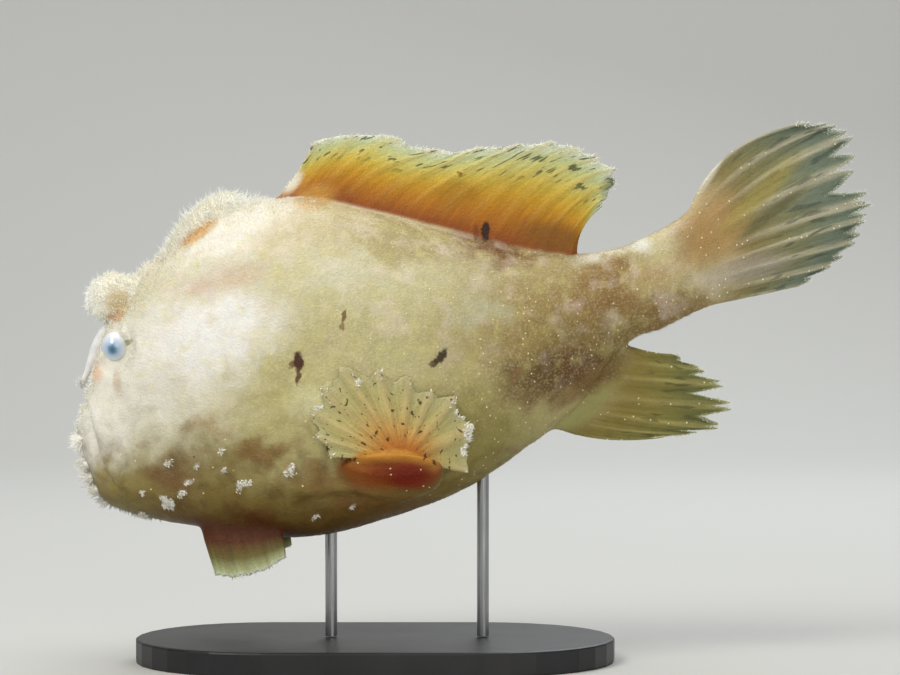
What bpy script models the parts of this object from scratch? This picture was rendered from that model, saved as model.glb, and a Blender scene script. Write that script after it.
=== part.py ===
"""A life-size frogfish, swimming with its head a little down, on a plain display stand.

Lengths are millimetres times MM, so every mesh is in metres, +Z up. The fish is drawn in
its own frame, parented to an empty that holds it at its swimming height: X runs from the
head (-X) to the tail, its left side faces -Y, and Z = 0 is the level of the pupil's top.
"""
import math

import bmesh
import bpy
import numpy as np
from mathutils import Matrix, Vector

MM = 0.001

# Driving sizes, in millimetres
SWIM_HEIGHT = 78.0
GAP = 0.3
BASE_LENGTH = 120.0
BASE_WIDTH = 66.0
BASE_THICKNESS = 6.0
BASE_EDGE = 0.8
ROD_RADIUS = 1.5
ROD_FRONT_X = -11.0
ROD_REAR_X = 27.0
ROD_DEPTH_IN_BELLY = 6.0
EYE_RADIUS = 3.5
EYE_PLACE = (-64.0, 10.2, 1.2)

# Fins: thickness at the rim, of the web between rays at the rim, and at each root, how far
# the roots sink into the body, and how far the fins wave to the side
FIN_RIM = 0.7
FIN_WEB = 0.55
PELVIC_RIM = 0.9
MEDIAN_ROOT = 6.0
CAUDAL_ROOT = 6.4
FAN_ROOT = 2.6
PELVIC_ROOT = 6.0
ROOT_TAPER = 2.2
DORSAL_DEPTH = 2.5
ANAL_DEPTH = 3.0
DORSAL_WAVE = 1.2
ANAL_WAVE = 0.8
CAUDAL_WAVE = 1.8

# The body's stations from chin to tail, each with the top and bottom of its section (x, z),
# its half width, and how far its widest level sinks below the middle
SNOUT = (-74.9, -18.8)
STATIONS = (
    (-71.7, -10.3, -73.1, -25.5, 9.5, 0.04),
    (-69.8, -2.5, -70.8, -32.0, 14.0, 0.06),
    (-67.2, 5.0, -67.3, -38.0, 17.0, 0.10),
    (-61.8, 11.5, -58.8, -41.5, 20.0, 0.13),
    (-53.0, 22.0, -46.3, -44.0, 23.4, 0.15),
    (-40.0, 32.4, -31.3, -46.6, 26.0, 0.16),
    (-21.5, 38.4, -13.8, -46.6, 27.4, 0.16),
    (-3.8, 35.6, 6.3, -41.3, 26.2, 0.14),
    (16.3, 30.5, 23.8, -34.3, 22.2, 0.12),
    (33.8, 25.5, 37.5, -24.8, 16.8, 0.08),
    (48.8, 24.0, 50.0, -15.5, 11.5, 0.04),
    (61.3, 25.8, 62.5, 1.0, 7.0, 0.0),
    (71.3, 30.3, 72.5, 5.5, 5.3, 0.0),
    (78.8, 34.5, 80.5, 9.5, 4.0, 0.0),
)
SECTION_ROUNDNESS = 0.8
AROUND = 28
ROWS_PER_STATION = 3
NECK_CUT = 6.2
TAIL_CUT = 11.45

# The mouth's cleft in side view, from the upper lip down to its corner, and on to the throat
CLEFT = ((-74.5, -10.0), (-71.2, -13.5), (-69.2, -20.0), (-67.3, -27.0), (-64.8, -31.5),
         (-62.0, -36.5), (-59.6, -42.5), (-58.8, -46.0))
JAW_SHIFT = (-0.33, -0.12)

# Spines on the head: each is a row of (x, z, height radius, side radius) along its middle
SECOND_SPINE = ((-54.5, 16.6, 2.4, 5.0), (-58.6, 14.6, 3.8, 4.4), (-63.2, 13.0, 6.5, 4.9),
                (-67.3, 12.7, 6.0, 4.7), (-70.2, 12.6, 4.3, 3.4))
SECOND_SPINE_ENDS = ((-52.0, 18.5), (-71.9, 12.7))
THIRD_SPINE = ((-49.9, 20.6, 4.4, 10.0), (-45.9, 25.6, 5.3, 8.0), (-41.9, 30.6, 5.4, 5.6),
               (-37.4, 33.6, 5.4, 4.4), (-33.0, 34.2, 3.4, 4.0))
THIRD_SPINE_ENDS = ((-57.0, 15.4), (-28.8, 35.4))
SPINE_AROUND = 14

# The lure: a thin rod that hangs down the front of the face and ends in a small knob
LURE_PATH = ((-66.6, 6.4, 1.8), (-68.3, 3.9, 2.0), (-69.9, 0.8, 2.0), (-71.1, -2.6, 1.7),
             (-72.1, -5.4, 1.2), (-72.9, -7.4, 1.6), (-73.4, -8.6, 2.2), (-73.7, -9.7, 1.2))
LURE_RADIUS = 0.45

# Fins in the middle line: each ray's tip (x, z), the stations that the fin is rooted between,
# how deep each web's notch is as a share of the ray, and the bend of the rays (x, z)
DORSAL_TIPS = ((-15.4, 51.8), (-9.2, 53.4), (-2.8, 53.6), (3.4, 53.6), (10.0, 51.0),
               (17.4, 50.0), (25.0, 50.4), (33.0, 51.0), (41.0, 51.8), (48.4, 51.2),
               (55.0, 48.4), (60.4, 44.0), (56.8, 35.8))
DORSAL_STATIONS = (6.62, 11.15)
DORSAL_BOW = (-2.2, 2.4)
DORSAL_FRONT_BOW = (3.4, -5.8)
DORSAL_REAR_BOW = -2.6
DORSAL_NOTCHES = (0.0, 0.02, 0.03, 0.05, 0.02, 0.02, 0.02, 0.03, 0.04, 0.06, 0.07, 0.05)
ANAL_TIPS = ((71.8, -21.5), (80.3, -20.8), (86.2, -19.2), (89.0, -14.0), (86.4, -8.3),
             (81.8, -4.7), (74.8, -1.0))
ANAL_STATIONS = (10.35, 11.85)
ANAL_LOW_BOW = -4.8
ANAL_HIGH_BOW = -1.8
ANAL_NOTCHES = (0.12, 0.16, 0.18, 0.26, 0.17, 0.12)
CAUDAL_TIPS = ((106.5, 56.6), (113.5, 56.3), (118.8, 54.1), (119.8, 46.6), (123.4, 37.6),
               (122.6, 33.3), (120.4, 27.8), (115.0, 21.8), (107.2, 16.1))
CAUDAL_ROOT_STATION = 13.85
CAUDAL_ROOT_MARGIN = 0.04
CAUDAL_TOP_BOW = (-8.2, 7.8)
CAUDAL_NOTCHES = (0.03, 0.05, 0.11, 0.18, 0.07, 0.06, 0.06, 0.08)

# The arm that carries each pectoral fan: (x, side, z, half length, half height) of its rings
ARM_RINGS = ((2.2, 17.0, -30.8, 14.2, 6.4), (2.8, 22.5, -30.2, 13.8, 5.9),
             (4.0, 25.8, -28.9, 13.0, 4.9), (5.0, 27.6, -27.6, 12.0, 3.6),
             (5.6, 28.8, -27.0, 10.4, 2.4))
ARM_AROUND = 18
ARM_LEAN = 0.35
WRIST = (7.0, -26.4)
WRIST_RADIUS = 4.2

# The fan lies along the flank, whose side bulges most at FLANK_X and falls away behind it
FLANK_X = -16.0
FLANK_OUT = 27.8
FLANK_TAPER = 0.004
FAN_GAP = 1.4
FAN_LIFT = 0.2
PECTORAL_RAYS = ((186, 18.6), (167, 20.8), (151, 25.6), (137, 26.2), (121, 27.2), (104, 23.0),
                 (86, 20.6), (67, 18.4), (50, 20.2), (26, 18.6), (-10, 16.4))
PECTORAL_NOTCH = 0.10

# Pelvic fins under the throat: roots and tips (x, side, z) from the front ray to the rear
PELVIC_ROOTS = ((-45.0, 8.5, -38.0), (-39.0, 9.5, -39.5), (-33.0, 10.0, -40.5), (-22.5, 10.0, -40.5))
PELVIC_TIPS = ((-39.0, 15.0, -55.0), (-35.2, 16.4, -55.4), (-30.8, 17.2, -54.8),
               (-26.0, 17.4, -53.2), (-21.6, 16.6, -50.4))
PELVIC_NOTCH = 0.06
PELVIC_BOW = 1.2


def spline(points, place):
    """Point at a place, counted in steps from the first point, on a curve through them all."""
    points = np.asarray(points, dtype=float)
    last = len(points) - 1
    step = int(min(max(math.floor(place), 0), last - 1))
    part = place - step
    here, there = points[step], points[step + 1]
    before = points[step - 1] if step > 0 else 2 * here - there
    after = points[step + 2] if step + 2 <= last else 2 * there - here
    slope_here, slope_there = (there - before) / 2, (after - here) / 2
    rise = there - here
    return (here + slope_here * part + (3 * rise - 2 * slope_here - slope_there) * part ** 2
            + (slope_here + slope_there - 2 * rise) * part ** 3)


def body_station(place):
    """Top, bottom, half width and sink of the body's section at a place along the stations."""
    first = STATIONS[0]
    mirrored = (first[2], first[3], first[0], first[1], -first[4], first[5])
    pole = (*SNOUT, *SNOUT, 0.0, first[5])
    values = spline((mirrored, pole) + STATIONS, place + 1)
    return values[0:2], values[2:4], max(values[4], 0.0), values[5]


def body_point(place, angle):
    """Point on the body's skin, with angle 0 at the back and pi at the belly."""
    top, bottom, half, sink = body_station(place)
    middle, rise = (top + bottom) / 2, (top - bottom) / 2
    x, z = middle + rise * math.cos(angle)
    across = math.sin(angle)
    side = half * math.copysign(abs(across) ** SECTION_ROUNDNESS, across)
    return Vector((x, side * (1 - sink * math.cos(angle)), z)) * MM


def body_ring(place):
    """One closed section of the body."""
    return [body_point(place, 2 * math.pi * k / AROUND) for k in range(AROUND)]


def cut_places(place):
    """Places just before and after a cut, half a gap to each side of it."""
    near = (body_point(place - 0.5, 0) + body_point(place - 0.5, math.pi)) / 2
    far = (body_point(place + 0.5, 0) + body_point(place + 0.5, math.pi)) / 2
    half_gap = GAP * MM / 2 / (far - near).length
    return place - half_gap, place + half_gap


def body_rings(start, end):
    """Sections from one place to another, with the stations' spacing."""
    count = max(2, round((end - start) * ROWS_PER_STATION))
    return [body_ring(start + (end - start) * k / count) for k in range(count + 1)]


def collection(name):
    """A new collection in the scene."""
    made = bpy.data.collections.new(name)
    bpy.context.scene.collection.children.link(made)
    return made


def material(name, colour, roughness=0.6, metallic=0.0):
    """A plain Principled material in linear colour."""
    made = bpy.data.materials.new(name)
    made.use_nodes = True
    shader = made.node_tree.nodes["Principled BSDF"]
    shader.inputs["Base Color"].default_value = (*colour, 1.0)
    shader.inputs["Roughness"].default_value = roughness
    shader.inputs["Metallic"].default_value = metallic
    return made


def finish_mesh(name, work, home, parent=None):
    """Turns a bmesh into an object in a collection."""
    bmesh.ops.recalc_face_normals(work, faces=work.faces)
    mesh = bpy.data.meshes.new(name)
    work.to_mesh(mesh)
    work.free()
    mesh.shade_smooth()
    piece = bpy.data.objects.new(name, mesh)
    home.objects.link(piece)
    piece.parent = parent
    return piece


def loft(name, rings, home, parent, nose=None, tip=None):
    """A closed skin over rings of points, each end a flat cap or drawn to a point."""
    work = bmesh.new()
    loops = [[work.verts.new(point) for point in ring] for ring in rings]
    for near, far in zip(loops, loops[1:]):
        for k in range(len(near)):
            after = (k + 1) % len(near)
            work.faces.new((near[k], near[after], far[after], far[k]))
    for loop, end in ((loops[0], nose), (loops[-1], tip)):
        if end is None:
            work.faces.new(loop)
            continue
        pole = work.verts.new(end)
        for k in range(len(loop)):
            work.faces.new((loop[k], loop[(k + 1) % len(loop)], pole))
    return finish_mesh(name, work, home, parent)


def grown(piece, home, by):
    """A cutter: a copy of a piece with its surface moved outwards."""
    work = bmesh.new()
    work.from_mesh(piece.data)
    work.normal_update()
    for vertex in work.verts:
        vertex.co += vertex.normal * by
    cutter = finish_mesh(piece.name + "_clearance", work, home, piece.parent)
    cutter.hide_render = True
    cutter.display_type = "WIRE"
    return cutter


def cut(piece, cutter, operation="DIFFERENCE"):
    """Adds a boolean with a cutter to a piece."""
    step = piece.modifiers.new(cutter.name, "BOOLEAN")
    step.operation = operation
    step.solver = "EXACT"
    step.object = cutter


def fin(name, point, rays, rows, notches, root, rim, home, parent):
    """A ribbed fin: point(place, reach) gives its middle surface, where place counts rays.

    Columns lie on the rays and halfway between them, where the web is thinner and stops
    short of the margin by its notch. Solidify gives it a thick root and a thin rim.
    """
    work = bmesh.new()
    columns = 2 * rays - 2
    bmesh.ops.create_grid(work, x_segments=columns, y_segments=rows, size=1.0)
    weights = {}
    work.verts.ensure_lookup_table()
    for vertex in work.verts:
        column = round((vertex.co.x + 1) / 2 * columns)
        reach = (vertex.co.y + 1) / 2
        is_web = column % 2 == 1
        length = 1 - (notches[column // 2] if is_web else 0.0)
        vertex.co = point(column / 2, reach * length)
        thickness = (FIN_WEB if is_web else rim) + (root - rim) * (1 - reach) ** ROOT_TAPER
        weights[vertex.index] = (thickness - FIN_WEB) / (root - FIN_WEB)
    piece = finish_mesh(name, work, home, parent)
    group = piece.vertex_groups.new(name="thickness")
    for index, weight in weights.items():
        group.add([index], min(max(weight, 0.0), 1.0), "REPLACE")
    shell = piece.modifiers.new("Thickness", "SOLIDIFY")
    shell.thickness = root * MM
    shell.offset = 0.0
    shell.vertex_group = group.name
    shell.thickness_vertex_group = FIN_WEB / root
    return piece


def ray_curve(root, tip, bow, reach):
    """Point along a bent ray: a quadratic curve from root to tip, bowed at its middle."""
    control = (root + tip) / 2 + bow
    return root * (1 - reach) ** 2 + control * 2 * reach * (1 - reach) + tip * reach ** 2


def rail_point(place, belly, depth):
    """Point sunk under the back or the belly, in the middle plane."""
    top, bottom, _, _ = body_station(place)
    inward = (bottom - top) / np.linalg.norm(bottom - top)
    flat = bottom - inward * depth if belly else top + inward * depth
    return np.array((flat[0], 0.0, flat[1]))


def median_point(tips, span, belly, depth, bow, wave):
    """Surface function of a fin in the middle plane, rooted along the back or belly."""
    last = len(tips) - 1

    def point(place, reach):
        share = place / last
        root = rail_point(span[0] + (span[1] - span[0]) * share, belly, depth)
        x, z = spline(tips, place)
        bent = ray_curve(root, np.array((x, 0.0, z)), bow(share), reach)
        bent[1] += wave(share) * reach ** 2
        return Vector(bent) * MM
    return point


def dorsal_bow(share):
    """Bend of the dorsal rays: the first one hollow in front, the last one hollow behind."""
    front = max(0.0, 1 - 6 * share)
    rear = max(0.0, 6 * share - 5)
    x = DORSAL_BOW[0] + DORSAL_FRONT_BOW[0] * front + DORSAL_REAR_BOW * rear
    z = DORSAL_BOW[1] * (1 - share / 2) + DORSAL_FRONT_BOW[1] * front
    return np.array((x, 0.0, z))


def dorsal_fin(home, parent):
    """The long soft dorsal fin, thirteen rays that lean back."""
    point = median_point(DORSAL_TIPS, DORSAL_STATIONS, False, DORSAL_DEPTH, dorsal_bow,
                         lambda share: DORSAL_WAVE * math.sin(2 * math.pi * share))
    return fin("dorsal_fin", point, len(DORSAL_TIPS), 6, DORSAL_NOTCHES, MEDIAN_ROOT, FIN_RIM,
               home, parent)


def anal_bow(share):
    """Bend of the anal rays: the first and the last ones hang down in the middle."""
    return np.array((0.0, 0.0, ANAL_LOW_BOW * (1 - share) ** 2 + ANAL_HIGH_BOW * share ** 4))


def anal_fin(home, parent):
    """The anal fin, seven rays swept back under the tail stalk."""
    point = median_point(ANAL_TIPS, ANAL_STATIONS, True, ANAL_DEPTH, anal_bow,
                         lambda share: ANAL_WAVE * math.sin(2.4 * math.pi * share))
    return fin("anal_fin", point, len(ANAL_TIPS), 6, ANAL_NOTCHES, MEDIAN_ROOT, FIN_RIM, home, parent)


def caudal_fin(home, parent):
    """The tail fin, nine long rays that spread from the end of the tail stalk."""
    last = len(CAUDAL_TIPS) - 1
    top, bottom, _, _ = body_station(CAUDAL_ROOT_STATION)

    def point(place, reach):
        share = place / last
        x, z = top + (bottom - top) * (CAUDAL_ROOT_MARGIN + (1 - 2 * CAUDAL_ROOT_MARGIN) * share)
        tip_x, tip_z = spline(CAUDAL_TIPS, place)
        bow = np.array((CAUDAL_TOP_BOW[0], 0.0, CAUDAL_TOP_BOW[1])) * (1 - share) ** 2.6
        bent = ray_curve(np.array((x, 0.0, z)), np.array((tip_x, 0.0, tip_z)), bow, reach)
        bent[1] += CAUDAL_WAVE * math.sin(2.6 * math.pi * share) * reach ** 2
        return Vector(bent) * MM
    return fin("caudal_fin", point, len(CAUDAL_TIPS), 9, CAUDAL_NOTCHES, CAUDAL_ROOT, FIN_RIM,
               home, parent)


def pectoral_fan(side_name, side, home, parent):
    """The hand-like fan on an arm: rays that radiate from the wrist and lie along the flank."""
    def point(place, reach):
        angle, length = spline(PECTORAL_RAYS, place)
        radius = WRIST_RADIUS + (length - WRIST_RADIUS) * reach
        turn = math.radians(angle)
        x = WRIST[0] + radius * math.cos(turn)
        z = WRIST[1] + radius * math.sin(turn)
        flank = FLANK_OUT - FLANK_TAPER * (x - FLANK_X) ** 2
        out = flank + FAN_GAP + FAN_LIFT * (1 - reach) ** 2
        return Vector((x, side * out, z)) * MM
    notches = (PECTORAL_NOTCH,) * (len(PECTORAL_RAYS) - 1)
    return fin("pectoral_fan_" + side_name, point, len(PECTORAL_RAYS), 4, notches, FAN_ROOT,
               FIN_RIM, home, parent)


def pectoral_arm(side_name, side, home, parent):
    """The fleshy arm that grows from the flank and flattens towards the wrist."""
    rings = []
    for x, out, z, half_length, half_height in ARM_RINGS:
        ring = []
        for k in range(ARM_AROUND):
            turn = 2 * math.pi * k / ARM_AROUND
            lift = half_height * math.sin(turn)
            ring.append(Vector((x + half_length * math.cos(turn), side * (out + ARM_LEAN * lift),
                                z + lift)) * MM)
        rings.append(ring)
    return loft("pectoral_arm_" + side_name, rings, home, parent)


def pelvic_fin(side_name, side, home, parent):
    """A short fleshy pelvic fin, five rays, splayed from the throat."""
    def point(place, reach):
        root = spline(PELVIC_ROOTS, place / (len(PELVIC_TIPS) - 1) * (len(PELVIC_ROOTS) - 1))
        bent = ray_curve(root, spline(PELVIC_TIPS, place), np.array((0.0, PELVIC_BOW, 0.0)), reach)
        return Vector((bent[0], side * bent[1], bent[2])) * MM
    notches = (PELVIC_NOTCH,) * (len(PELVIC_TIPS) - 1)
    return fin("pelvic_fin_" + side_name, point, len(PELVIC_TIPS), 5, notches, PELVIC_ROOT,
               PELVIC_RIM, home, parent)


def spine(name, rows, ends, home, parent):
    """A fleshy head spine: rings across its middle line, drawn to a point at both ends."""
    middle = [ends[0]] + [row[:2] for row in rows] + [ends[1]]
    rings = []
    for step in range(2 * len(rows) - 1):
        x, z, tall, wide = spline(rows, step / 2)
        along = spline(middle, step / 2 + 1.2) - spline(middle, step / 2 + 0.8)
        along /= np.linalg.norm(along)
        ring = []
        for k in range(SPINE_AROUND):
            turn = 2 * math.pi * k / SPINE_AROUND
            lift = tall * math.cos(turn)
            ring.append(Vector((x - along[1] * lift, wide * math.sin(turn), z + along[0] * lift)) * MM)
        rings.append(ring)
    poles = [Vector((x, 0.0, z)) * MM for x, z in ends]
    return loft(name, rings, home, parent, nose=poles[0], tip=poles[1])


def lure(home, parent):
    """The thin rod of the lure with its knob, as one tube of changing radius."""
    data = bpy.data.curves.new("illicium", "CURVE")
    data.dimensions = "3D"
    data.bevel_depth = LURE_RADIUS * MM
    data.bevel_resolution = 2
    data.use_fill_caps = True
    line = data.splines.new("POLY")
    count = 2 * (len(LURE_PATH) - 1)
    line.points.add(count)
    for k, knot in enumerate(line.points):
        x, z, radius = spline(LURE_PATH, k / 2)
        knot.co = (x * MM, 0.0, z * MM, 1.0)
        knot.radius = radius
    return mesh_from_curve(data, "illicium", home, parent)


def mesh_from_curve(data, name, home, parent=None):
    """Turns curve data into a closed mesh object, with its caps welded on."""
    source = bpy.data.objects.new(name + "_curve", data)
    home.objects.link(source)
    graph = bpy.context.evaluated_depsgraph_get()
    mesh = bpy.data.meshes.new_from_object(source.evaluated_get(graph))
    work = bmesh.new()
    work.from_mesh(mesh)
    bmesh.ops.remove_doubles(work, verts=work.verts, dist=0.00001)
    bpy.data.objects.remove(source)
    return finish_mesh(name, work, home, parent)


def jaw_prism(name, shift, home, parent):
    """The space in front of the mouth's cleft, cut through the whole width of the head."""
    data = bpy.data.curves.new(name, "CURVE")
    data.dimensions = "2D"
    data.fill_mode = "BOTH"
    data.extrude = 40 * MM
    outline = [(x + shift[0], z + shift[1]) for x, z in CLEFT]
    outline += [(outline[-1][0], -60.0), (-90.0, -60.0), (-90.0, outline[0][1])]
    line = data.splines.new("POLY")
    line.points.add(len(outline) - 1)
    line.use_cyclic_u = True
    for knot, (x, z) in zip(line.points, outline):
        knot.co = (x * MM, z * MM, 0.0, 1.0)
    prism = mesh_from_curve(data, name, home)
    prism.data.transform(Matrix.Rotation(math.radians(90), 4, "X"))
    prism.parent = parent
    prism.hide_render = True
    prism.display_type = "WIRE"
    return prism


def eye(side_name, side, home, parent):
    """An eyeball, sunk in the side of the head."""
    work = bmesh.new()
    bmesh.ops.create_uvsphere(work, u_segments=16, v_segments=10, radius=EYE_RADIUS * MM)
    piece = finish_mesh("eye_" + side_name, work, home, parent)
    x, out, z = EYE_PLACE
    piece.data.transform(Matrix.Translation(Vector((x, side * out, z)) * MM))
    return piece


def belly_height(x):
    """Height of the belly's lowest line over the floor, in millimetres, at x."""
    places = np.linspace(4, 11, 141)
    belly = [body_station(place)[1] for place in places]
    return SWIM_HEIGHT + float(np.interp(x, [b[0] for b in belly], [b[1] for b in belly]))


def stand_rod(name, x, home):
    """A steel rod from the base's top into the belly."""
    foot = BASE_THICKNESS + GAP
    head = belly_height(x) + ROD_DEPTH_IN_BELLY
    bpy.ops.mesh.primitive_cylinder_add(vertices=24, radius=ROD_RADIUS * MM, depth=(head - foot) * MM)
    rod = bpy.context.object
    rod.name = name
    rod.data.name = name
    rod.data.transform(Matrix.Translation(Vector((x, 0.0, (head + foot) / 2)) * MM))
    rod.data.shade_smooth()
    rod.data.set_sharp_from_angle(angle=math.radians(40))
    for owner in list(rod.users_collection):
        owner.objects.unlink(rod)
    home.objects.link(rod)
    return rod


def stand_base(home):
    """The flat base: a plate with half-round ends and a softened edge."""
    data = bpy.data.curves.new("stand_base", "CURVE")
    data.dimensions = "2D"
    data.fill_mode = "BOTH"
    data.extrude = BASE_THICKNESS / 2 * MM
    radius = BASE_WIDTH / 2
    straight = BASE_LENGTH / 2 - radius
    outline = []
    for end in (1, -1):
        for k in range(17):
            turn = math.pi * (k / 16 - 0.5)
            outline.append((end * (straight + radius * math.cos(turn)), end * radius * math.sin(turn)))
    line = data.splines.new("POLY")
    line.points.add(len(outline) - 1)
    line.use_cyclic_u = True
    for knot, (x, y) in zip(line.points, outline):
        knot.co = (x * MM, y * MM, 0.0, 1.0)
    plate = mesh_from_curve(data, "stand_base", home)
    plate.location.z = BASE_THICKNESS / 2 * MM
    rounding = plate.modifiers.new("Edge", "BEVEL")
    rounding.width = BASE_EDGE * MM
    rounding.segments = 2
    rounding.limit_method = "ANGLE"
    rounding.angle_limit = math.radians(60)
    return plate


def build():
    """Makes every piece of the fish and its stand."""
    for old in list(bpy.data.objects):
        bpy.data.objects.remove(old)
    home = collection("frogfish")
    tools = collection("cutters")
    fish = bpy.data.objects.new("fish", None)
    fish.location.z = SWIM_HEIGHT * MM
    home.objects.link(fish)

    snout = Vector((SNOUT[0], 0.0, SNOUT[1])) * MM
    first_ring = 1 / ROWS_PER_STATION
    head_end, trunk_start = cut_places(NECK_CUT)
    trunk_end, stalk_start = cut_places(TAIL_CUT)
    last_place = len(STATIONS)
    whole = loft("body", body_rings(first_ring, last_place), tools, fish, nose=snout)
    clearance = grown(whole, tools, GAP * MM)
    bpy.data.objects.remove(whole)

    head = loft("head", body_rings(first_ring, head_end), home, fish, nose=snout)
    jaw = loft("lower_jaw", body_rings(first_ring, head_end), home, fish, nose=snout)
    cut(head, jaw_prism("mouth_cut", (0.0, 0.0), tools, fish))
    cut(jaw, jaw_prism("jaw_block", JAW_SHIFT, tools, fish), "INTERSECT")
    trunk = loft("trunk", body_rings(trunk_start, trunk_end), home, fish)
    loft("tail_stalk", body_rings(stalk_start, last_place), home, fish)

    for side_name, side in (("left", -1), ("right", 1)):
        ball = eye(side_name, side, home, fish)
        cut(head, grown(ball, tools, GAP * MM))
        arm = pectoral_arm(side_name, side, home, fish)
        hand = pectoral_fan(side_name, side, home, fish)
        cut(hand, grown(arm, tools, GAP * MM))
        cut(arm, clearance)
        cut(hand, clearance)
        cut(pelvic_fin(side_name, side, home, fish), clearance)
    for piece in (dorsal_fin(home, fish), anal_fin(home, fish), caudal_fin(home, fish),
                  spine("dorsal_spine_second", SECOND_SPINE, SECOND_SPINE_ENDS, home, fish),
                  spine("dorsal_spine_third", THIRD_SPINE, THIRD_SPINE_ENDS, home, fish),
                  lure(home, fish)):
        cut(piece, clearance)

    stand_base(home)
    for name, x in (("stand_rod_front", ROD_FRONT_X), ("stand_rod_rear", ROD_REAR_X)):
        cut(trunk, grown(stand_rod(name, x, home), tools, GAP * MM))


FLESH = {
    "head": (0.86, 0.78, 0.60), "lower_jaw": (0.84, 0.77, 0.60), "trunk": (0.78, 0.69, 0.42),
    "tail_stalk": (0.78, 0.62, 0.42), "dorsal_fin": (0.70, 0.42, 0.06), "caudal_fin": (0.55, 0.46, 0.25),
    "anal_fin": (0.48, 0.36, 0.15), "pectoral_arm": (0.68, 0.27, 0.05), "pectoral_fan": (0.76, 0.62, 0.33),
    "pelvic_fin": (0.42, 0.16, 0.05), "dorsal_spine": (0.84, 0.76, 0.50), "illicium": (0.86, 0.86, 0.80),
}


def paint():
    """Gives every piece its own material: flesh by part, glassy eyes, black base, steel rods."""
    for piece in bpy.data.collections["frogfish"].objects:
        if piece.type != "MESH":
            continue
        if piece.name.startswith("eye"):
            finish = material(piece.name, (0.55, 0.66, 0.80), 0.12)
        elif piece.name.startswith("stand_rod"):
            finish = material(piece.name, (0.56, 0.57, 0.58), 0.3, 1.0)
        elif piece.name == "stand_base":
            finish = material(piece.name, (0.02, 0.02, 0.022), 0.35)
        else:
            key = next(part for part in FLESH if piece.name.startswith(part))
            finish = material(piece.name, FLESH[key])
        piece.data.materials.append(finish)


build()
paint()
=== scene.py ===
# %% [markdown]
# # A frogfish for a museum case
# The fish hangs over a small stand, head a little down, with every fin spread. The construction
# model gives its solids; here they get one continuous skin, a coat of prickles and skin tufts,
# wet eyes and painted markings. The construction model is loaded first.

import math

import bmesh
import bpy
import numpy as np
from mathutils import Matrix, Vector, kdtree, noise


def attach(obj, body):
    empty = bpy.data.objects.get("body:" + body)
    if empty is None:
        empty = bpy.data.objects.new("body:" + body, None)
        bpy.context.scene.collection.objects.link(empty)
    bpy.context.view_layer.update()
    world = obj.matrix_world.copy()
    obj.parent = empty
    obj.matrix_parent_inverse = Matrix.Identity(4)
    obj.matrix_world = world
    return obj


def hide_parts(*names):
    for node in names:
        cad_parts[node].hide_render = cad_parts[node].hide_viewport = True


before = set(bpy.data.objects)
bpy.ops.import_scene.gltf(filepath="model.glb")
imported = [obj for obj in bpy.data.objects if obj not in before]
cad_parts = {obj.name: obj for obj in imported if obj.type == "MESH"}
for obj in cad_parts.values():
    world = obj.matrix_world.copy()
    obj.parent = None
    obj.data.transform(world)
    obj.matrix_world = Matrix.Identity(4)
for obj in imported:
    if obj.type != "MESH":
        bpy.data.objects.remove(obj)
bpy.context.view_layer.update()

# %% [markdown]
# ## Units and the fish's own frame
# All shapes are drawn in millimetres in the fish's own frame, where the head points to -X, the
# left flank faces -Y, and Z = 0 is eye level. One function moves points into the world, which
# is in metres. Reading the swimming height from the frame would only guess it from a box, so the
# same driving size as in the construction is used.

# %% Units
MM = 0.001
SWIM_HEIGHT = 78.0
COAT_DEPTH = 0.35


def to_world(points):
    """Millimetres in the fish's frame to metres in the world."""
    return (np.asarray(points, float) + (0.0, 0.0, SWIM_HEIGHT)) * MM


def smooth_step(low, high, values):
    """0 below low, 1 above high, and an even S between them."""
    share = np.clip((np.asarray(values, float) - low) / (high - low), 0.0, 1.0)
    return share * share * (3 - 2 * share)


def bump_at(values, centre, width):
    """A soft bell of height 1 at a centre."""
    return np.exp(-((np.asarray(values, float) - centre) / width) ** 2)


def curve_through(points, places):
    """Points at places, counted in steps, on a smooth curve through a row of points."""
    points = np.asarray(points, float)
    places = np.asarray(places, float)
    step = np.clip(np.floor(places).astype(int), 0, len(points) - 2)
    part = (places - step)[..., None]
    padded = np.vstack((2 * points[:1] - points[1:2], points, 2 * points[-1:] - points[-2:-1]))
    before, here, there, after = (padded[step + k] for k in range(4))
    slope_here, slope_there, rise = (there - before) / 2, (after - here) / 2, there - here
    return (here + slope_here * part + (3 * rise - 2 * slope_here - slope_there) * part ** 2
            + (slope_here + slope_there - 2 * rise) * part ** 3)


def put_in_scene(name, data):
    """An object of a mesh, lamp or camera, linked to the scene."""
    made = bpy.data.objects.new(name, data)
    bpy.context.scene.collection.objects.link(made)
    return made


print("coat depth", COAT_DEPTH, "mm, swim height", SWIM_HEIGHT, "mm")

# %% [markdown]
# ## The body as a loft
# A frogfish is a bag: high, blunt in front, widest low down, and drawn in fast to a short tail
# stalk. A row of sections with a top, a bottom and a half width gives that shape. A sphere pulled
# about by hand would do it too, but sections keep the side outline exact. The last section is
# thinner than the tail fin's root and ends inside it, so the two flow into each other.

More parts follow.
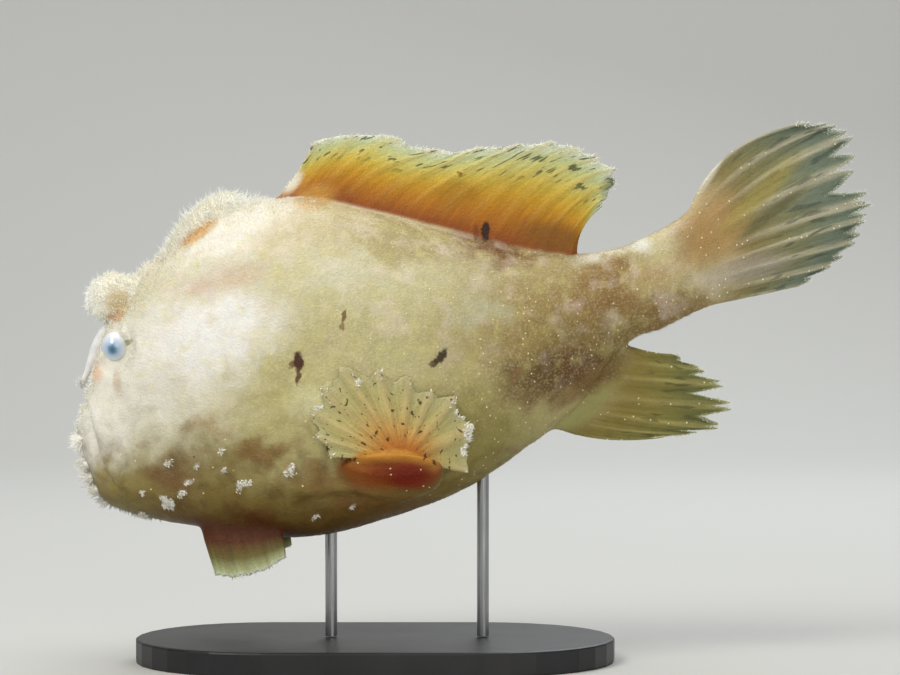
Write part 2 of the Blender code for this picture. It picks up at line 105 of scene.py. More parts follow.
# %% Body sections
SNOUT = (-74.9, -18.8)
STATIONS = (
    (-71.7, -10.3, -73.1, -25.5, 9.5, 0.04),
    (-69.8, -2.5, -70.8, -32.0, 14.0, 0.06),
    (-67.2, 5.0, -67.3, -38.0, 17.0, 0.10),
    (-61.8, 11.5, -58.8, -41.5, 20.0, 0.13),
    (-53.0, 22.0, -46.3, -44.0, 23.4, 0.15),
    (-40.0, 32.4, -31.3, -46.6, 26.0, 0.16),
    (-21.5, 38.4, -13.8, -46.6, 27.4, 0.16),
    (-3.8, 35.6, 6.3, -41.3, 26.2, 0.14),
    (16.3, 30.5, 23.8, -34.3, 22.2, 0.12),
    (33.8, 25.5, 37.5, -24.8, 16.8, 0.08),
    (48.8, 24.0, 50.0, -15.5, 11.5, 0.04),
    (61.3, 25.8, 62.5, 1.0, 7.0, 0.0),
    (71.3, 30.3, 72.5, 5.5, 5.3, 0.0),
    (78.8, 34.5, 80.5, 9.5, 4.0, 0.0),
    (90.0, 39.5, 92.0, 13.0, 0.9, 0.0),
)
SECTION_ROUNDNESS = 0.8
mirrored_first = (*STATIONS[0][2:4], *STATIONS[0][0:2], -STATIONS[0][4], STATIONS[0][5])
BODY_ROWS = (mirrored_first, (*SNOUT, *SNOUT, 0.0, STATIONS[0][5])) + STATIONS


def body_surface(places, angles):
    """Points on the solid body, with angle 0 along the back and pi along the belly."""
    rows = curve_through(BODY_ROWS, np.asarray(places, float) + 1)
    top, bottom, half, sink = rows[..., 0:2], rows[..., 2:4], rows[..., 4], rows[..., 5]
    across, along = np.sin(angles), np.cos(angles)
    flat = (top + bottom) / 2 + (top - bottom) / 2 * along[..., None]
    side = np.maximum(half, 0) * np.sign(across) * np.abs(across) ** SECTION_ROUNDNESS
    return np.stack((flat[..., 0], side * (1 - sink * along), flat[..., 1]), axis=-1)


def unit(vectors):
    """Vectors brought to length 1."""
    return vectors / np.maximum(np.linalg.norm(vectors, axis=-1, keepdims=True), 1e-9)


def grid_normals(points):
    """Unit normals of a grid of points, from the slopes along its two directions."""
    return unit(np.cross(np.gradient(points, axis=0), np.gradient(points, axis=1)))


# %% [markdown]
# ## Where the rings go
# The face needs a finer mesh than the flank, because lips and lids are under a millimetre wide.
# Rings are laid out by walking along the side of the body with a step that grows from the face
# backwards. Subdividing everything evenly would spend most of the triangles on the plain flank.

# %% Ring places
FACE_STEP = 0.42
FLANK_STEP = 1.12
FACE_ENDS_X = -60.0
FLANK_STARTS_X = -42.0
AROUND_BODY = 176
FIRST_RING = 0.03
WALK_POINTS = 4000
WALK_ANGLE = math.pi / 2 * 1.12

fine_places = np.linspace(FIRST_RING, len(STATIONS), WALK_POINTS)
walk = body_surface(fine_places, np.full_like(fine_places, WALK_ANGLE))
walked = np.concatenate(([0.0], np.cumsum(np.linalg.norm(np.diff(walk, axis=0), axis=1))))
wanted = FACE_STEP + (FLANK_STEP - FACE_STEP) * smooth_step(FACE_ENDS_X, FLANK_STARTS_X, walk[:, 0])
rings_passed = np.concatenate(([0.0], np.cumsum(np.diff(walked) / wanted[1:])))
ring_count = int(rings_passed[-1])
even_steps = np.arange(ring_count + 1) * rings_passed[-1] / ring_count
ring_places = np.interp(even_steps, rings_passed, fine_places)
body_angles = 2 * math.pi * np.arange(AROUND_BODY) / AROUND_BODY
print("body rings:", ring_count + 1, "points around:", AROUND_BODY)

# %% [markdown]
# ## A skin patch
# Every part of the fish is first a grid of points: rings of the body, or rows and columns of a
# fin. A patch keeps the grid's faces, a flat layout of it in millimetres for the UV map, and two
# numbers at each point that the paint needs later: how far out along a fin it lies and which
# ray is nearest. Modelling by hand would lose this bookkeeping; a grid carries it for free.

# %% Patches
PATCHES = []
FIN_KINDS = ("dorsal", "caudal", "anal", "pectoral", "pelvic", "arm", "spine")
STRIP_STRETCH = 0.35


def new_patch(name, kind, points, faces, corner_uvs, reach=None, ray=None):
    """Stores one closed patch: its points, faces, flat layout and paint numbers."""
    count = len(points)
    PATCHES.append({
        "name": name, "kind": kind, "points": points, "faces": faces,
        "uvs": np.asarray(corner_uvs, float),
        "reach": np.zeros(count) if reach is None else reach,
        "ray": np.zeros(count) if ray is None else ray,
    })
    return PATCHES[-1]


def tube_patch(name, kind, rings, start, end, reach=None):
    """Closed rings (ring, around, 3) drawn to a point at both ends, laid out as a long strip."""
    ring_total, around = rings.shape[:2]
    points = np.vstack((rings.reshape(-1, 3), [start], [end]))
    steps = np.linalg.norm(np.diff(rings.mean(axis=1), axis=0), axis=1) + STRIP_STRETCH
    along = np.concatenate(([0.0], np.cumsum(steps)))
    girth = np.linalg.norm(np.diff(rings, axis=1, append=rings[:, :1]), axis=2).sum(axis=1).max()
    faces, uvs = [], []
    for row in range(ring_total - 1):
        for k in range(around):
            after = (k + 1) % around
            faces.append((row * around + k, row * around + after,
                          (row + 1) * around + after, (row + 1) * around + k))
            low, high = girth * k / around, girth * (k + 1) / around
            uvs += [(along[row], low), (along[row], high), (along[row + 1], high), (along[row + 1], low)]
    for row, pole, step in ((0, len(points) - 2, -0.5), (ring_total - 1, len(points) - 1, 0.5)):
        for k in range(around):
            ring_pair = (row * around + (k + 1) % around, row * around + k)
            pair_v = (girth * (k + 1) / around, girth * k / around)
            if step > 0:
                ring_pair, pair_v = ring_pair[::-1], pair_v[::-1]
            faces.append((*ring_pair, pole))
            uvs += [(along[row], v) for v in pair_v]
            uvs.append((along[row] + step, sum(pair_v) / 2))
    values = None if reach is None else np.concatenate((np.repeat(reach, around), reach[[0, -1]]))
    return new_patch(name, kind, points, faces, uvs, values)


places_grid, angles_grid = np.meshgrid(ring_places, body_angles, indexing="ij")
body = body_surface(places_grid, angles_grid)
wrapped = np.concatenate((body[:, -1:], body, body[:, :1]), axis=1)
outwards = grid_normals(wrapped)[:, 1:-1]
if (outwards[:, AROUND_BODY // 4, 1] * body[:, AROUND_BODY // 4, 1]).sum() < 0:
    outwards = -outwards
body -= outwards * COAT_DEPTH
nose = np.array((SNOUT[0] + COAT_DEPTH, 0.0, SNOUT[1]))
tube_patch("body", "body", body, nose, body[-1].mean(axis=0))
print("body patch:", len(PATCHES[-1]["faces"]), "faces")

# %% [markdown]
# ## Fins
# A frogfish's fins are thick skin over soft rays, so a fin is two sheets that meet in a thin
# rounded edge. One function bends a middle surface, thickens it at the rays and the root, and
# cuts the margin back between the ray tips. Solidify would give one even thickness; here the
# thickness is a formula, so each ray stands out as a soft ridge and the tail's rays can fork.

# %% Fin builder
EDGE_MM = 0.45
FINE_RIDGE = 0.16
RIDGE_WIDTH = 0.17
FORKED_NARROWER = 0.09
MARGIN_STEPS = 0.125
SHEETS_APART = 2.0
rng = np.random.default_rng(4)


def fin_patch(name, kind, middle, rays, columns_per_ray, rows, notches, root, fork=0.0, wobble=0.02,
              ray_thick=0.62, web_thick=0.3, taper=2.2, fine_per_ray=3, dome=0.0):
    """Two sheets around middle(place, reach), in mm, that meet at the margin and both ends."""
    last = rays - 1
    edge = np.array((0.0, 0.06, 0.2, 0.5))
    columns = np.concatenate((edge * 0.4, np.linspace(0, last, last * columns_per_ray + 1)[1:-1],
                              last - edge[::-1] * 0.4))
    columns = np.unique(np.round(np.clip(columns, 0, last), 5))
    rim_rows = 1 - np.array((0.5, 0.2, 0.06, 0.0)) * 0.04
    reaches = np.concatenate((np.linspace(0, 0.97, rows), rim_rows[rim_rows > 0.975]))
    place, reach = np.meshgrid(columns, reaches, indexing="ij")
    off_ray = np.abs(place - np.round(place))
    split = fork * smooth_step(0.45, 1.0, reach)
    notch = np.asarray(notches)[np.clip(np.floor(columns).astype(int), 0, last - 1)][:, None]
    tooth = np.clip(np.abs(off_ray - split) / np.maximum(0.5 - split, split + 1e-6), 0, 1)
    knots = np.arange(0, last + 2.1 * MARGIN_STEPS, MARGIN_STEPS)
    ragged = np.interp(columns, knots, rng.uniform(-1, 1, len(knots)))[:, None]
    ragged = wobble * ragged * smooth_step(0.0, 0.4, place) * smooth_step(0.0, 0.4, last - place)
    length = 1 - notch * tooth ** 1.1 + ragged
    flat = middle(place, reach * length)
    side = grid_normals(flat)
    ridge_width = RIDGE_WIDTH - FORKED_NARROWER * (split > 0.02)
    ridge = bump_at(off_ray, split, ridge_width) * smooth_step(0.1, 0.4, reach)
    fine = 0.5 + 0.5 * np.cos(2 * np.pi * fine_per_ray * place)
    fine = FINE_RIDGE * fine * smooth_step(0.15, 0.45, reach)
    arch = 1 - dome + dome * np.sqrt(np.clip(1 - (2 * place / last - 1) ** 2, 0, 1))
    thick = web_thick + (ray_thick - web_thick) * ridge + fine
    thick = thick + (root - web_thick) * arch * (1 - reach) ** taper
    from_rim = np.linalg.norm(flat - flat[:, -1:], axis=2)
    from_ends = np.minimum(*[np.linalg.norm(flat - end, axis=2) for end in (flat[:1], flat[-1:])])
    for gap in (from_rim, from_ends):
        rounded = np.maximum(EDGE_MM, thick * 0.5)
        thick = thick * np.sqrt(np.clip(1 - (1 - np.clip(gap / rounded, 0, 1)) ** 2, 0, 1))
    sheets = (flat + side * thick[..., None] / 2, flat - side * thick[..., None] / 2)
    return close_fin(name, kind, sheets, place, reach)


def close_fin(name, kind, sheets, place, reach):
    """Joins the two sheets of a fin at their margin, and closes the root between them."""
    wide, deep = place.shape
    index_near = np.arange(wide * deep).reshape(wide, deep)
    index_far = index_near + wide * deep
    shared = np.zeros((wide, deep), bool)
    shared[:, -1] = shared[0] = shared[-1] = True
    index_far = np.where(shared, index_near, index_far)
    middle = (sheets[0] + sheets[1]) / 2
    points = np.vstack([np.where(shared[..., None], middle, sheet).reshape(-1, 3) for sheet in sheets])
    across, down = [np.concatenate(([0.0], np.cumsum(
        np.linalg.norm(np.diff(middle, axis=axis), axis=2).max(axis=1 - axis)))) for axis in (0, 1)]
    faces, uvs = [], []
    offset = across[-1] + SHEETS_APART
    for index, flip, shift in ((index_near, False, 0.0), (index_far, True, offset)):
        for i in range(wide - 1):
            for j in range(deep - 1):
                quad = [(i, j), (i + 1, j), (i + 1, j + 1), (i, j + 1)]
                quad = quad[::-1] if flip else quad
                faces.append(tuple(int(index[c]) for c in quad))
                uvs += [(across[a] + shift, down[b]) for a, b in quad]
    for i in range(wide - 1):
        quad = (index_near[i + 1, 0], index_near[i, 0], index_far[i, 0], index_far[i + 1, 0])
        faces.append(tuple(dict.fromkeys(int(q) for q in quad)))
        uvs += [(across[i], 0.0)] * len(faces[-1])
    used = np.unique(np.concatenate([np.asarray(face) for face in faces]))
    renumber = np.full(len(points), -1)
    renumber[used] = np.arange(len(used))
    faces = [tuple(int(renumber[q]) for q in face) for face in faces]
    both = np.concatenate((reach.ravel(), reach.ravel()))[used]
    rays = np.concatenate((place.ravel(), place.ravel()))[used]
    return new_patch(name, kind, points[used], faces, uvs, both, rays)


def ray_curve(root, tip, bow, reach):
    """Points along bent rays: quadratic curves from root to tip, bowed at their middles."""
    share = reach[..., None]
    control = (root + tip) / 2 + bow
    return root * (1 - share) ** 2 + control * 2 * share * (1 - share) + tip * share ** 2


def in_plane(flat, side=0.0):
    """(x, z) pairs as points in the fish's middle plane, or at a distance to its side."""
    return np.stack((flat[..., 0], np.broadcast_to(side, flat.shape[:-1]), flat[..., 1]), axis=-1)


print("fin edge", EDGE_MM, "mm")

# %% [markdown]
# ## Dorsal, anal and tail fins
# These three stand in the middle plane. Their rays start under the skin of the back, the belly
# or the tail stalk, and lean back to the tips seen in side view. Sinking the roots gives the
# joining step below something to hold on to.

# %% Median fins
DORSAL_TIPS = ((-15.4, 51.8), (-9.2, 53.4), (-2.8, 53.6), (3.4, 53.6), (10.0, 51.0), (17.4, 50.0),
               (25.0, 50.4), (33.0, 51.0), (41.0, 51.8), (48.4, 51.2), (55.0, 48.4), (60.4, 44.0),
               (56.8, 35.8))
DORSAL_NOTCHES = (0.0, 0.02, 0.03, 0.05, 0.02, 0.02, 0.02, 0.03, 0.04, 0.06, 0.07, 0.05)
DORSAL_STATIONS = (6.62, 11.15)
DORSAL_DEPTH = 2.5
ANAL_TIPS = ((71.8, -21.5), (80.3, -20.8), (86.2, -19.2), (89.0, -14.0), (86.4, -8.3), (81.8, -4.7),
             (74.8, -1.0))
ANAL_NOTCHES = (0.12, 0.16, 0.18, 0.26, 0.17, 0.12)
ANAL_STATIONS = (10.35, 11.85)
ANAL_DEPTH = 3.4
CAUDAL_TIPS = ((106.5, 56.6), (113.5, 56.3), (118.8, 54.1), (119.8, 46.6), (123.4, 37.6),
               (122.6, 33.3), (120.4, 27.8), (115.0, 21.8), (107.2, 16.1))
CAUDAL_NOTCHES = (0.03, 0.05, 0.11, 0.18, 0.07, 0.06, 0.06, 0.08)
CAUDAL_ROOT_STATION = 13.85
MEDIAN_ROOT = 5.4
ANAL_ROOT = 6.0
CAUDAL_ROOT = 6.2
DORSAL_SWEEP = 2.4


def rail(places, belly, depth):
    """Points (x, z) sunk under the back or the belly."""
    rows = curve_through(BODY_ROWS, np.asarray(places, float) + 1)
    top, bottom = rows[..., 0:2], rows[..., 2:4]
    inward = (bottom - top) / np.linalg.norm(bottom - top, axis=-1, keepdims=True)
    return bottom - inward * depth if belly else top + inward * depth


def dorsal_middle(place, reach):
    """The long dorsal fin: its first ray is hollow in front, the others lean back."""
    share = place / (len(DORSAL_TIPS) - 1)
    front = np.maximum(0, 1 - 6 * share)
    rear = np.maximum(0, 6 * share - 5)
    bow = np.stack((-2.2 + 3.4 * front - 2.6 * rear, np.zeros_like(share),
                    2.4 * (1 - share / 2) - 5.8 * front), axis=-1)
    root = in_plane(rail(DORSAL_STATIONS[0] + np.ptp(DORSAL_STATIONS) * share, False, DORSAL_DEPTH))
    bent = ray_curve(root, in_plane(curve_through(DORSAL_TIPS, place)), bow, reach)
    bent[..., 1] += 1.2 * np.sin(2 * np.pi * share) * reach ** 2
    return bent


def anal_middle(place, reach):
    """The anal fin: seven rays swept back under the tail stalk."""
    share = place / (len(ANAL_TIPS) - 1)
    bow = np.stack((0 * share, 0 * share, -4.8 * (1 - share) ** 2 - 1.8 * share ** 4), axis=-1)
    root = in_plane(rail(ANAL_STATIONS[0] + np.ptp(ANAL_STATIONS) * share, True, ANAL_DEPTH))
    bent = ray_curve(root, in_plane(curve_through(ANAL_TIPS, place)), bow, reach)
    bent[..., 1] += 0.8 * np.sin(2.4 * np.pi * share) * reach ** 2
    return bent


def caudal_middle(place, reach):
    """The tail fin: nine long rays that spread from the end of the stalk."""
    share = place / (len(CAUDAL_TIPS) - 1)
    row = curve_through(BODY_ROWS, np.array([CAUDAL_ROOT_STATION + 1.0]))[0]
    flat = row[0:2] + (row[2:4] - row[0:2]) * (0.04 + 0.92 * share[..., None])
    bow = np.array((-8.2, 0.0, 7.8)) * ((1 - share) ** 2.6)[..., None]
    bent = ray_curve(in_plane(flat), in_plane(curve_through(CAUDAL_TIPS, place)), bow, reach)
    bent[..., 1] += 1.8 * np.sin(2.6 * np.pi * share) * reach ** 2
    return bent


def leaning_dorsal(place, reach):
    """The same dorsal surface with its rays swept back towards their tips."""
    share = place / (len(DORSAL_TIPS) - 1)
    room = 4 * share * (1 - share)
    return dorsal_middle(place + DORSAL_SWEEP * reach ** 2 * room, reach)


fin_patch("dorsal_fin", "dorsal", leaning_dorsal, 13, 11, 26, DORSAL_NOTCHES, MEDIAN_ROOT, wobble=0.012)
fin_patch("anal_fin", "anal", anal_middle, 7, 14, 24, ANAL_NOTCHES, ANAL_ROOT, fork=0.16, ray_thick=0.75,
          taper=2.6, dome=0.5)
fin_patch("caudal_fin", "caudal", caudal_middle, 9, 16, 38, CAUDAL_NOTCHES, CAUDAL_ROOT, fork=0.2,
          ray_thick=0.8, taper=2.6, dome=1.0)
print("median fins:", [len(patch["faces"]) for patch in PATCHES[1:]])

# %% [markdown]
# ## Arms with their fans, and the pelvic fins
# A frogfish walks on its pectoral fins: each is a fleshy arm low on the flank that ends in a
# hand-like fan, held up against the side here. The pelvic fins are two short feet under the
# throat. The left ones are drawn, and the right ones are the same grids mirrored.

# %% Paired fins
ARM_RINGS = ((2.2, 17.0, -30.8, 14.2, 6.4), (2.8, 22.5, -30.2, 13.8, 5.9), (4.0, 25.8, -28.9, 13.0, 4.9),
             (5.0, 27.6, -27.6, 12.0, 3.6), (5.6, 28.8, -27.0, 10.4, 2.4))
ARM_LEAN = 0.5
PALM_SINK = 3.6
WRIST = (7.0, -26.4)
PALM_RADIUS = 2.0
FLANK_X = -16.0
FLANK_OUT = 27.8
FLANK_TAPER = 0.004
FAN_GAP = 1.4
FAN_SINK = 0.9
PECTORAL_NOTCHES = (0.1, 0.07, 0.12, 0.06, 0.13, 0.09, 0.14, 0.08, 0.11, 0.16)
PECTORAL_RAYS = ((175, 17.8), (163, 20.8), (150, 25.6), (137, 26.2), (121, 27.2), (104, 23.0),
                 (86, 20.6), (67, 18.4), (50, 20.2), (26, 18.6), (-10, 16.4))
PECTORAL_ROOT = 3.0
PELVIC_ROOT = 8.0
PELVIC_NOTCHES = (0.02, 0.02, 0.02, 0.02)
PELVIC_ROOTS = ((-45.0, 8.5, -38.0), (-39.0, 9.5, -39.5), (-33.0, 10.0, -40.5), (-22.5, 10.0, -40.5))
PELVIC_TIPS = ((-39.0, 15.0, -55.0), (-35.2, 16.4, -55.4), (-30.8, 17.2, -54.8), (-26.0, 17.4, -53.2),
               (-21.6, 16.6, -50.4))


def fan_middle(side):
    """The pectoral fan's middle surface on one side: rays that radiate from the wrist."""
    def middle(place, reach):
        rays = curve_through(PECTORAL_RAYS, place)
        turn = np.radians(rays[..., 0])
        radius = PALM_RADIUS + (rays[..., 1] - PALM_RADIUS) * reach
        x = WRIST[0] + radius * np.cos(turn)
        out = FLANK_OUT - FLANK_TAPER * (x - FLANK_X) ** 2 + FAN_GAP - FAN_SINK * reach
        out = out + 0.2 * np.cos(2 * np.pi * place) * reach
        return np.stack((x, side * out, WRIST[1] + radius * np.sin(turn)), axis=-1)
    return middle


def pelvic_middle(side):
    """The pelvic fin's middle surface on one side."""
    def middle(place, reach):
        root = curve_through(PELVIC_ROOTS, place / (len(PELVIC_TIPS) - 1) * (len(PELVIC_ROOTS) - 1))
        bent = ray_curve(root, curve_through(PELVIC_TIPS, place), np.array((0.0, 1.2, 0.0)), reach)
        return bent * (1, side, 1)
    return middle


def arm_rings(side, rings=34, around=72):
    """Rings of the fleshy arm, from inside the flank out to the flat wrist."""
    x, out, z, length, height = curve_through(ARM_RINGS, np.linspace(0, len(ARM_RINGS) - 1, rings)).T
    turns = 2 * math.pi * np.arange(around) / around * side
    lift = height[:, None] * np.sin(turns)
    across = x[:, None] + length[:, None] * np.cos(turns)
    sunk = out[:, None] + ARM_LEAN * lift - PALM_SINK * np.clip((2.0 - across) / 14.0, 0, 1) ** 2
    return np.stack((across, side * sunk, z[:, None] + lift), axis=-1)


for side_name, side in (("left", -1), ("right", 1)):
    fin_patch("pectoral_fan_" + side_name, "pectoral", fan_middle(side), 11, 11, 26, PECTORAL_NOTCHES,
              PECTORAL_ROOT, ray_thick=0.68, web_thick=0.34, wobble=0.04, taper=1.8, fine_per_ray=2)
    rings = arm_rings(side)
    tube_patch("arm_" + side_name, "arm", rings, rings[0].mean(axis=0), rings[-1].mean(axis=0)
               + (0, side * 0.3, 0), np.linspace(0, 1, len(rings)))
    fin_patch("pelvic_fin_" + side_name, "pelvic", pelvic_middle(side), 5, 10, 20, PELVIC_NOTCHES,
              PELVIC_ROOT, ray_thick=0.75, web_thick=0.62, wobble=0.02, taper=1.7, dome=0.6)
print("paired fins:", [len(patch["faces"]) for patch in PATCHES[4:]])

# %% [markdown]
# ## The two spines on the head
# Behind the lure, a frogfish carries two more dorsal spines buried in skin: a knob over the eyes
# and a longer hump behind it. Each is a bent tube of rings that swells in its middle.

# %% Head spines
SECOND_SPINE = ((-54.5, 16.6, 2.4, 5.0), (-58.6, 14.6, 3.8, 4.4), (-63.2, 13.0, 6.5, 4.9),
                (-67.3, 12.7, 6.0, 4.7), (-70.2, 12.6, 4.3, 3.4))
THIRD_SPINE = ((-50.3, 21.0, 4.0, 7.0), (-46.6, 26.3, 4.5, 5.8), (-42.4, 31.2, 4.8, 4.8),
               (-37.6, 34.0, 4.9, 4.2), (-33.0, 34.2, 3.4, 3.8))
SPINE_ENDS = (((-52.0, 18.5), (-71.9, 12.7)), ((-57.0, 15.4), (-28.8, 35.4)))


def spine_rings(rows, ends, steps=9, around=52):
    """Rings across a spine's middle line, rounded off towards both of its ends."""
    rows = np.asarray(rows, float)
    middle = np.vstack(([ends[0]], rows[:, :2], [ends[1]]))
    sizes = np.vstack(([0.0, 0.0], rows[:, 2:], [0.0, 0.0]))
    places = np.linspace(0, len(middle) - 1, (len(middle) - 1) * steps + 1)[1:-1]
    centre = curve_through(middle, places)
    along = np.gradient(centre, axis=0)
    along /= np.linalg.norm(along, axis=1, keepdims=True)
    size = np.maximum(curve_through(sizes, places), 0.3)
    for end in (0, len(middle) - 2):
        inside = (places > end) & (places < end + 1)
        share = places[inside] - end if end == 0 else end + 1 - places[inside]
        full = sizes[1] if end == 0 else sizes[-2]
        size[inside] = full * np.sqrt(np.clip(1 - (1 - share[:, None]) ** 2, 0, 1))
    size = size - COAT_DEPTH * np.minimum(1, size / 2)
    turns = 2 * math.pi * np.arange(around) / around
    lift = size[:, :1] * np.cos(turns)
    return np.stack((centre[:, :1] - along[:, 1:] * lift, size[:, 1:] * np.sin(turns),
                     centre[:, 1:] + along[:, :1] * lift), axis=-1)


for name, rows, ends in zip(("second_spine", "third_spine"), (SECOND_SPINE, THIRD_SPINE), SPINE_ENDS):
    rings = spine_rings(rows, ends)
    poles = [np.array((x, 0.0, z)) for x, z in ends]
    tube_patch(name, "spine", rings, poles[0], poles[1], np.linspace(0, 1, len(rings)))
print("patches in all:", len(PATCHES))

# %% [markdown]
# ## One layout for the whole skin
# The paint is to be baked onto a UV map, so every patch gets its own place on one sheet. The
# patches are packed in rows, tallest first, and the whole sheet is scaled to fill a square.
# Blender's own unwrap would cut a fish like this into hundreds of small islands.

# %% UV sheet
SHEET_WIDTH = 420.0
SHEET_GAP = 3.0


def pack_rows(patches):
    """Places each patch's rectangle in rows, and returns the side of the square they need."""
    left, low, tall = SHEET_GAP, SHEET_GAP, 0.0
    for patch in sorted(patches, key=lambda one: -np.ptp(one["uvs"][:, 1])):
        start = patch["uvs"].min(axis=0)
        size = np.ptp(patch["uvs"], axis=0)
        if left + size[0] > SHEET_WIDTH:
            left, low, tall = SHEET_GAP, low + tall + SHEET_GAP, 0.0
        patch["uvs"] = patch["uvs"] - start + (left, low)
        left += size[0] + SHEET_GAP
        tall = max(tall, size[1])
    return max(SHEET_WIDTH + SHEET_GAP, low + tall + SHEET_GAP)


sheet_side = pack_rows(PATCHES)
for patch in PATCHES:
    patch["uvs"] = patch["uvs"] / sheet_side
print("sheet side:", round(sheet_side), "mm")

# %% [markdown]
# ## One skin out of all patches
# The patches overlap where they join. A boolean union cuts away what lies inside, so the fish
# becomes one closed skin. A voxel remesh would join them as well, but it would need cells finer
# than the thin fin edges. The union keeps the UV sheet and the paint numbers of every patch.

# %% Union
JOIN_SOFTNESS = {
    # kind: reach in mm, rounds that keep the bulk, rounds that don't
    "dorsal": (2.0, 10, 0), "anal": (5.0, 60, 0), "caudal": (6.0, 60, 3), "pectoral": (1.2, 6, 0),
    "pelvic": (5.0, 30, 10), "arm": (4.0, 30, 8), "spine": (3.6, 0, 30)}
THICK_KINDS = ("anal", "caudal", "pelvic", "arm", "spine")
WELD_MM = 0.3
HUMP_REACH = 9.0
HUMP_ROUNDS = 50
SHRINK_GUARD = -0.51
LAST_REACH = 1.4
LAST_ROUNDS = 5
DEGENERATE_MM = 0.06
HUMP_FRONT = (-60.0, -56.0)
HUMP_REAR = (-47.0, -40.0)
HUMP_JOINS_FROM = -57.0
# kind: how far its colour runs over the body in mm, rounds of spreading
TINT_SPREAD = {"dorsal": (1.6, 30), "caudal": (12.0, 500), "anal": (5.0, 200), "pectoral": (0.8, 8),
               "pelvic": (9.0, 300), "arm": (3.0, 60), "spine": (3.0, 60)}


def read_values(mesh, name, size=1, kind=np.float32):
    """An attribute of a mesh as an array."""
    layer = mesh.attributes[name]
    found = np.zeros(len(layer.data) * size, kind)
    layer.data.foreach_get("vector" if size == 3 else "value", found)
    return found.reshape(-1, 3) if size == 3 else found


def store_values(mesh, name, values):
    """Stores one number for each point of a mesh, as an attribute."""
    mesh.attributes.new(name, "FLOAT", "POINT").data.foreach_set("value", np.asarray(values, np.float32))


def patch_object(number, patch):
    """A closed mesh object of a patch, with its UV sheet, paint numbers and patch number."""
    mesh = bpy.data.meshes.new(patch["name"])
    mesh.from_pydata(to_world(patch["points"]).tolist(), [], patch["faces"])
    layer = mesh.uv_layers.new(name="OFBake")
    layer.uv.foreach_set("vector", patch["uvs"].astype(np.float32).ravel())
    for kind in FIN_KINDS:
        values = patch["reach"] if kind == patch["kind"] else np.zeros(len(patch["points"]))
        store_values(mesh, kind, values)
    store_values(mesh, "ray", patch["ray"])
    numbers = np.full(len(patch["faces"]), number, np.int32)
    mesh.attributes.new("patch", "INT", "FACE").data.foreach_set("value", numbers)
    work = bmesh.new()
    work.from_mesh(mesh)
    bmesh.ops.recalc_face_normals(work, faces=work.faces)
    if work.calc_volume(signed=True) < 0:
        bmesh.ops.reverse_faces(work, faces=work.faces)
    loose = sum(not edge.is_manifold for edge in work.edges)
    work.to_mesh(mesh)
    work.free()
    if loose:
        print("open edges in", patch["name"], loose)
    return put_in_scene(patch["name"], mesh)


def union(objects):
    """One mesh that is the boolean union of all objects, which are then removed."""
    first = objects[0]
    for other in objects[1:]:
        step = first.modifiers.new(other.name, "BOOLEAN")
        step.operation = "UNION"
        step.solver = "MANIFOLD"
        step.object = other
    graph = bpy.context.evaluated_depsgraph_get()
    mesh = bpy.data.meshes.new_from_object(first.evaluated_get(graph))
    for used in objects:
        bpy.data.objects.remove(used)
    return mesh


skin_mesh = union([patch_object(number, patch) for number, patch in enumerate(PATCHES)])
print("union:", len(skin_mesh.vertices), "points,", len(skin_mesh.polygons), "faces",
      [layer.name for layer in skin_mesh.attributes])

# %% [markdown]
# ## Softening the joins
# A union leaves a hard crease where a fin meets the body, and living skin has none. Points near
# a crease are moved to the mean of their neighbours, many times, with a pull that fades out a
# few millimetres away. A bevel can't follow such ragged edges.

# %% Soft joins
def corner_points(mesh):
    """The number of the point at each face corner."""
    found = np.zeros(len(mesh.loops), np.int64)
    mesh.loops.foreach_get("vertex_index", found)
    return found


def join_points(mesh):
    """Numbers of the points where two patches meet, and the later of the two patches."""
    patch_of = read_values(mesh, "patch", kind=np.int32)
    corner = corner_points(mesh)
    sizes = np.zeros(len(mesh.polygons), np.int64)
    mesh.polygons.foreach_get("loop_total", sizes)
    owner = np.repeat(patch_of, sizes)
    lowest = np.full(len(mesh.vertices), len(PATCHES))
    highest = np.full(len(mesh.vertices), -1)
    np.minimum.at(lowest, corner, owner)
    np.maximum.at(highest, corner, owner)
    found = np.flatnonzero(highest > lowest)
    return found, highest[found]


def distance_to(points, targets):
    """Distance from each point to the nearest target, in the points' own unit."""
    tree = kdtree.KDTree(len(targets))
    for number, target in enumerate(targets):
        tree.insert(target, number)
    tree.balance()
    return np.array([tree.find(point)[2] for point in points])


def relaxed(mesh, values, weights, rounds, back=0.0):
    """Values drawn to their neighbours' mean as far as the weights say, and part of the way back."""
    values = np.array(values, float).reshape(len(mesh.vertices), -1)
    pairs = np.zeros(len(mesh.edges) * 2, np.int64)
    mesh.edges.foreach_get("vertices", pairs)
    one, two = pairs.reshape(-1, 2).T
    near = (weights[one] > 0) | (weights[two] > 0)
    used, small = np.unique(np.concatenate((one[near], two[near])), return_inverse=True)
    one, two = small.reshape(2, -1)
    part = values[used]
    pulls = [weights[used, None] * pull for pull in (0.5, back) if pull]
    count = (np.bincount(one, minlength=len(used)) + np.bincount(two, minlength=len(used)))[:, None]
    for _ in range(rounds):
        for pull in pulls:
            sums = [np.bincount(one, column[two], len(used)) + np.bincount(two, column[one], len(used))
                    for column in part.T]
            total = np.stack(sums, axis=1)
            part += (total / count - part) * pull
    values[used] = part
    return values


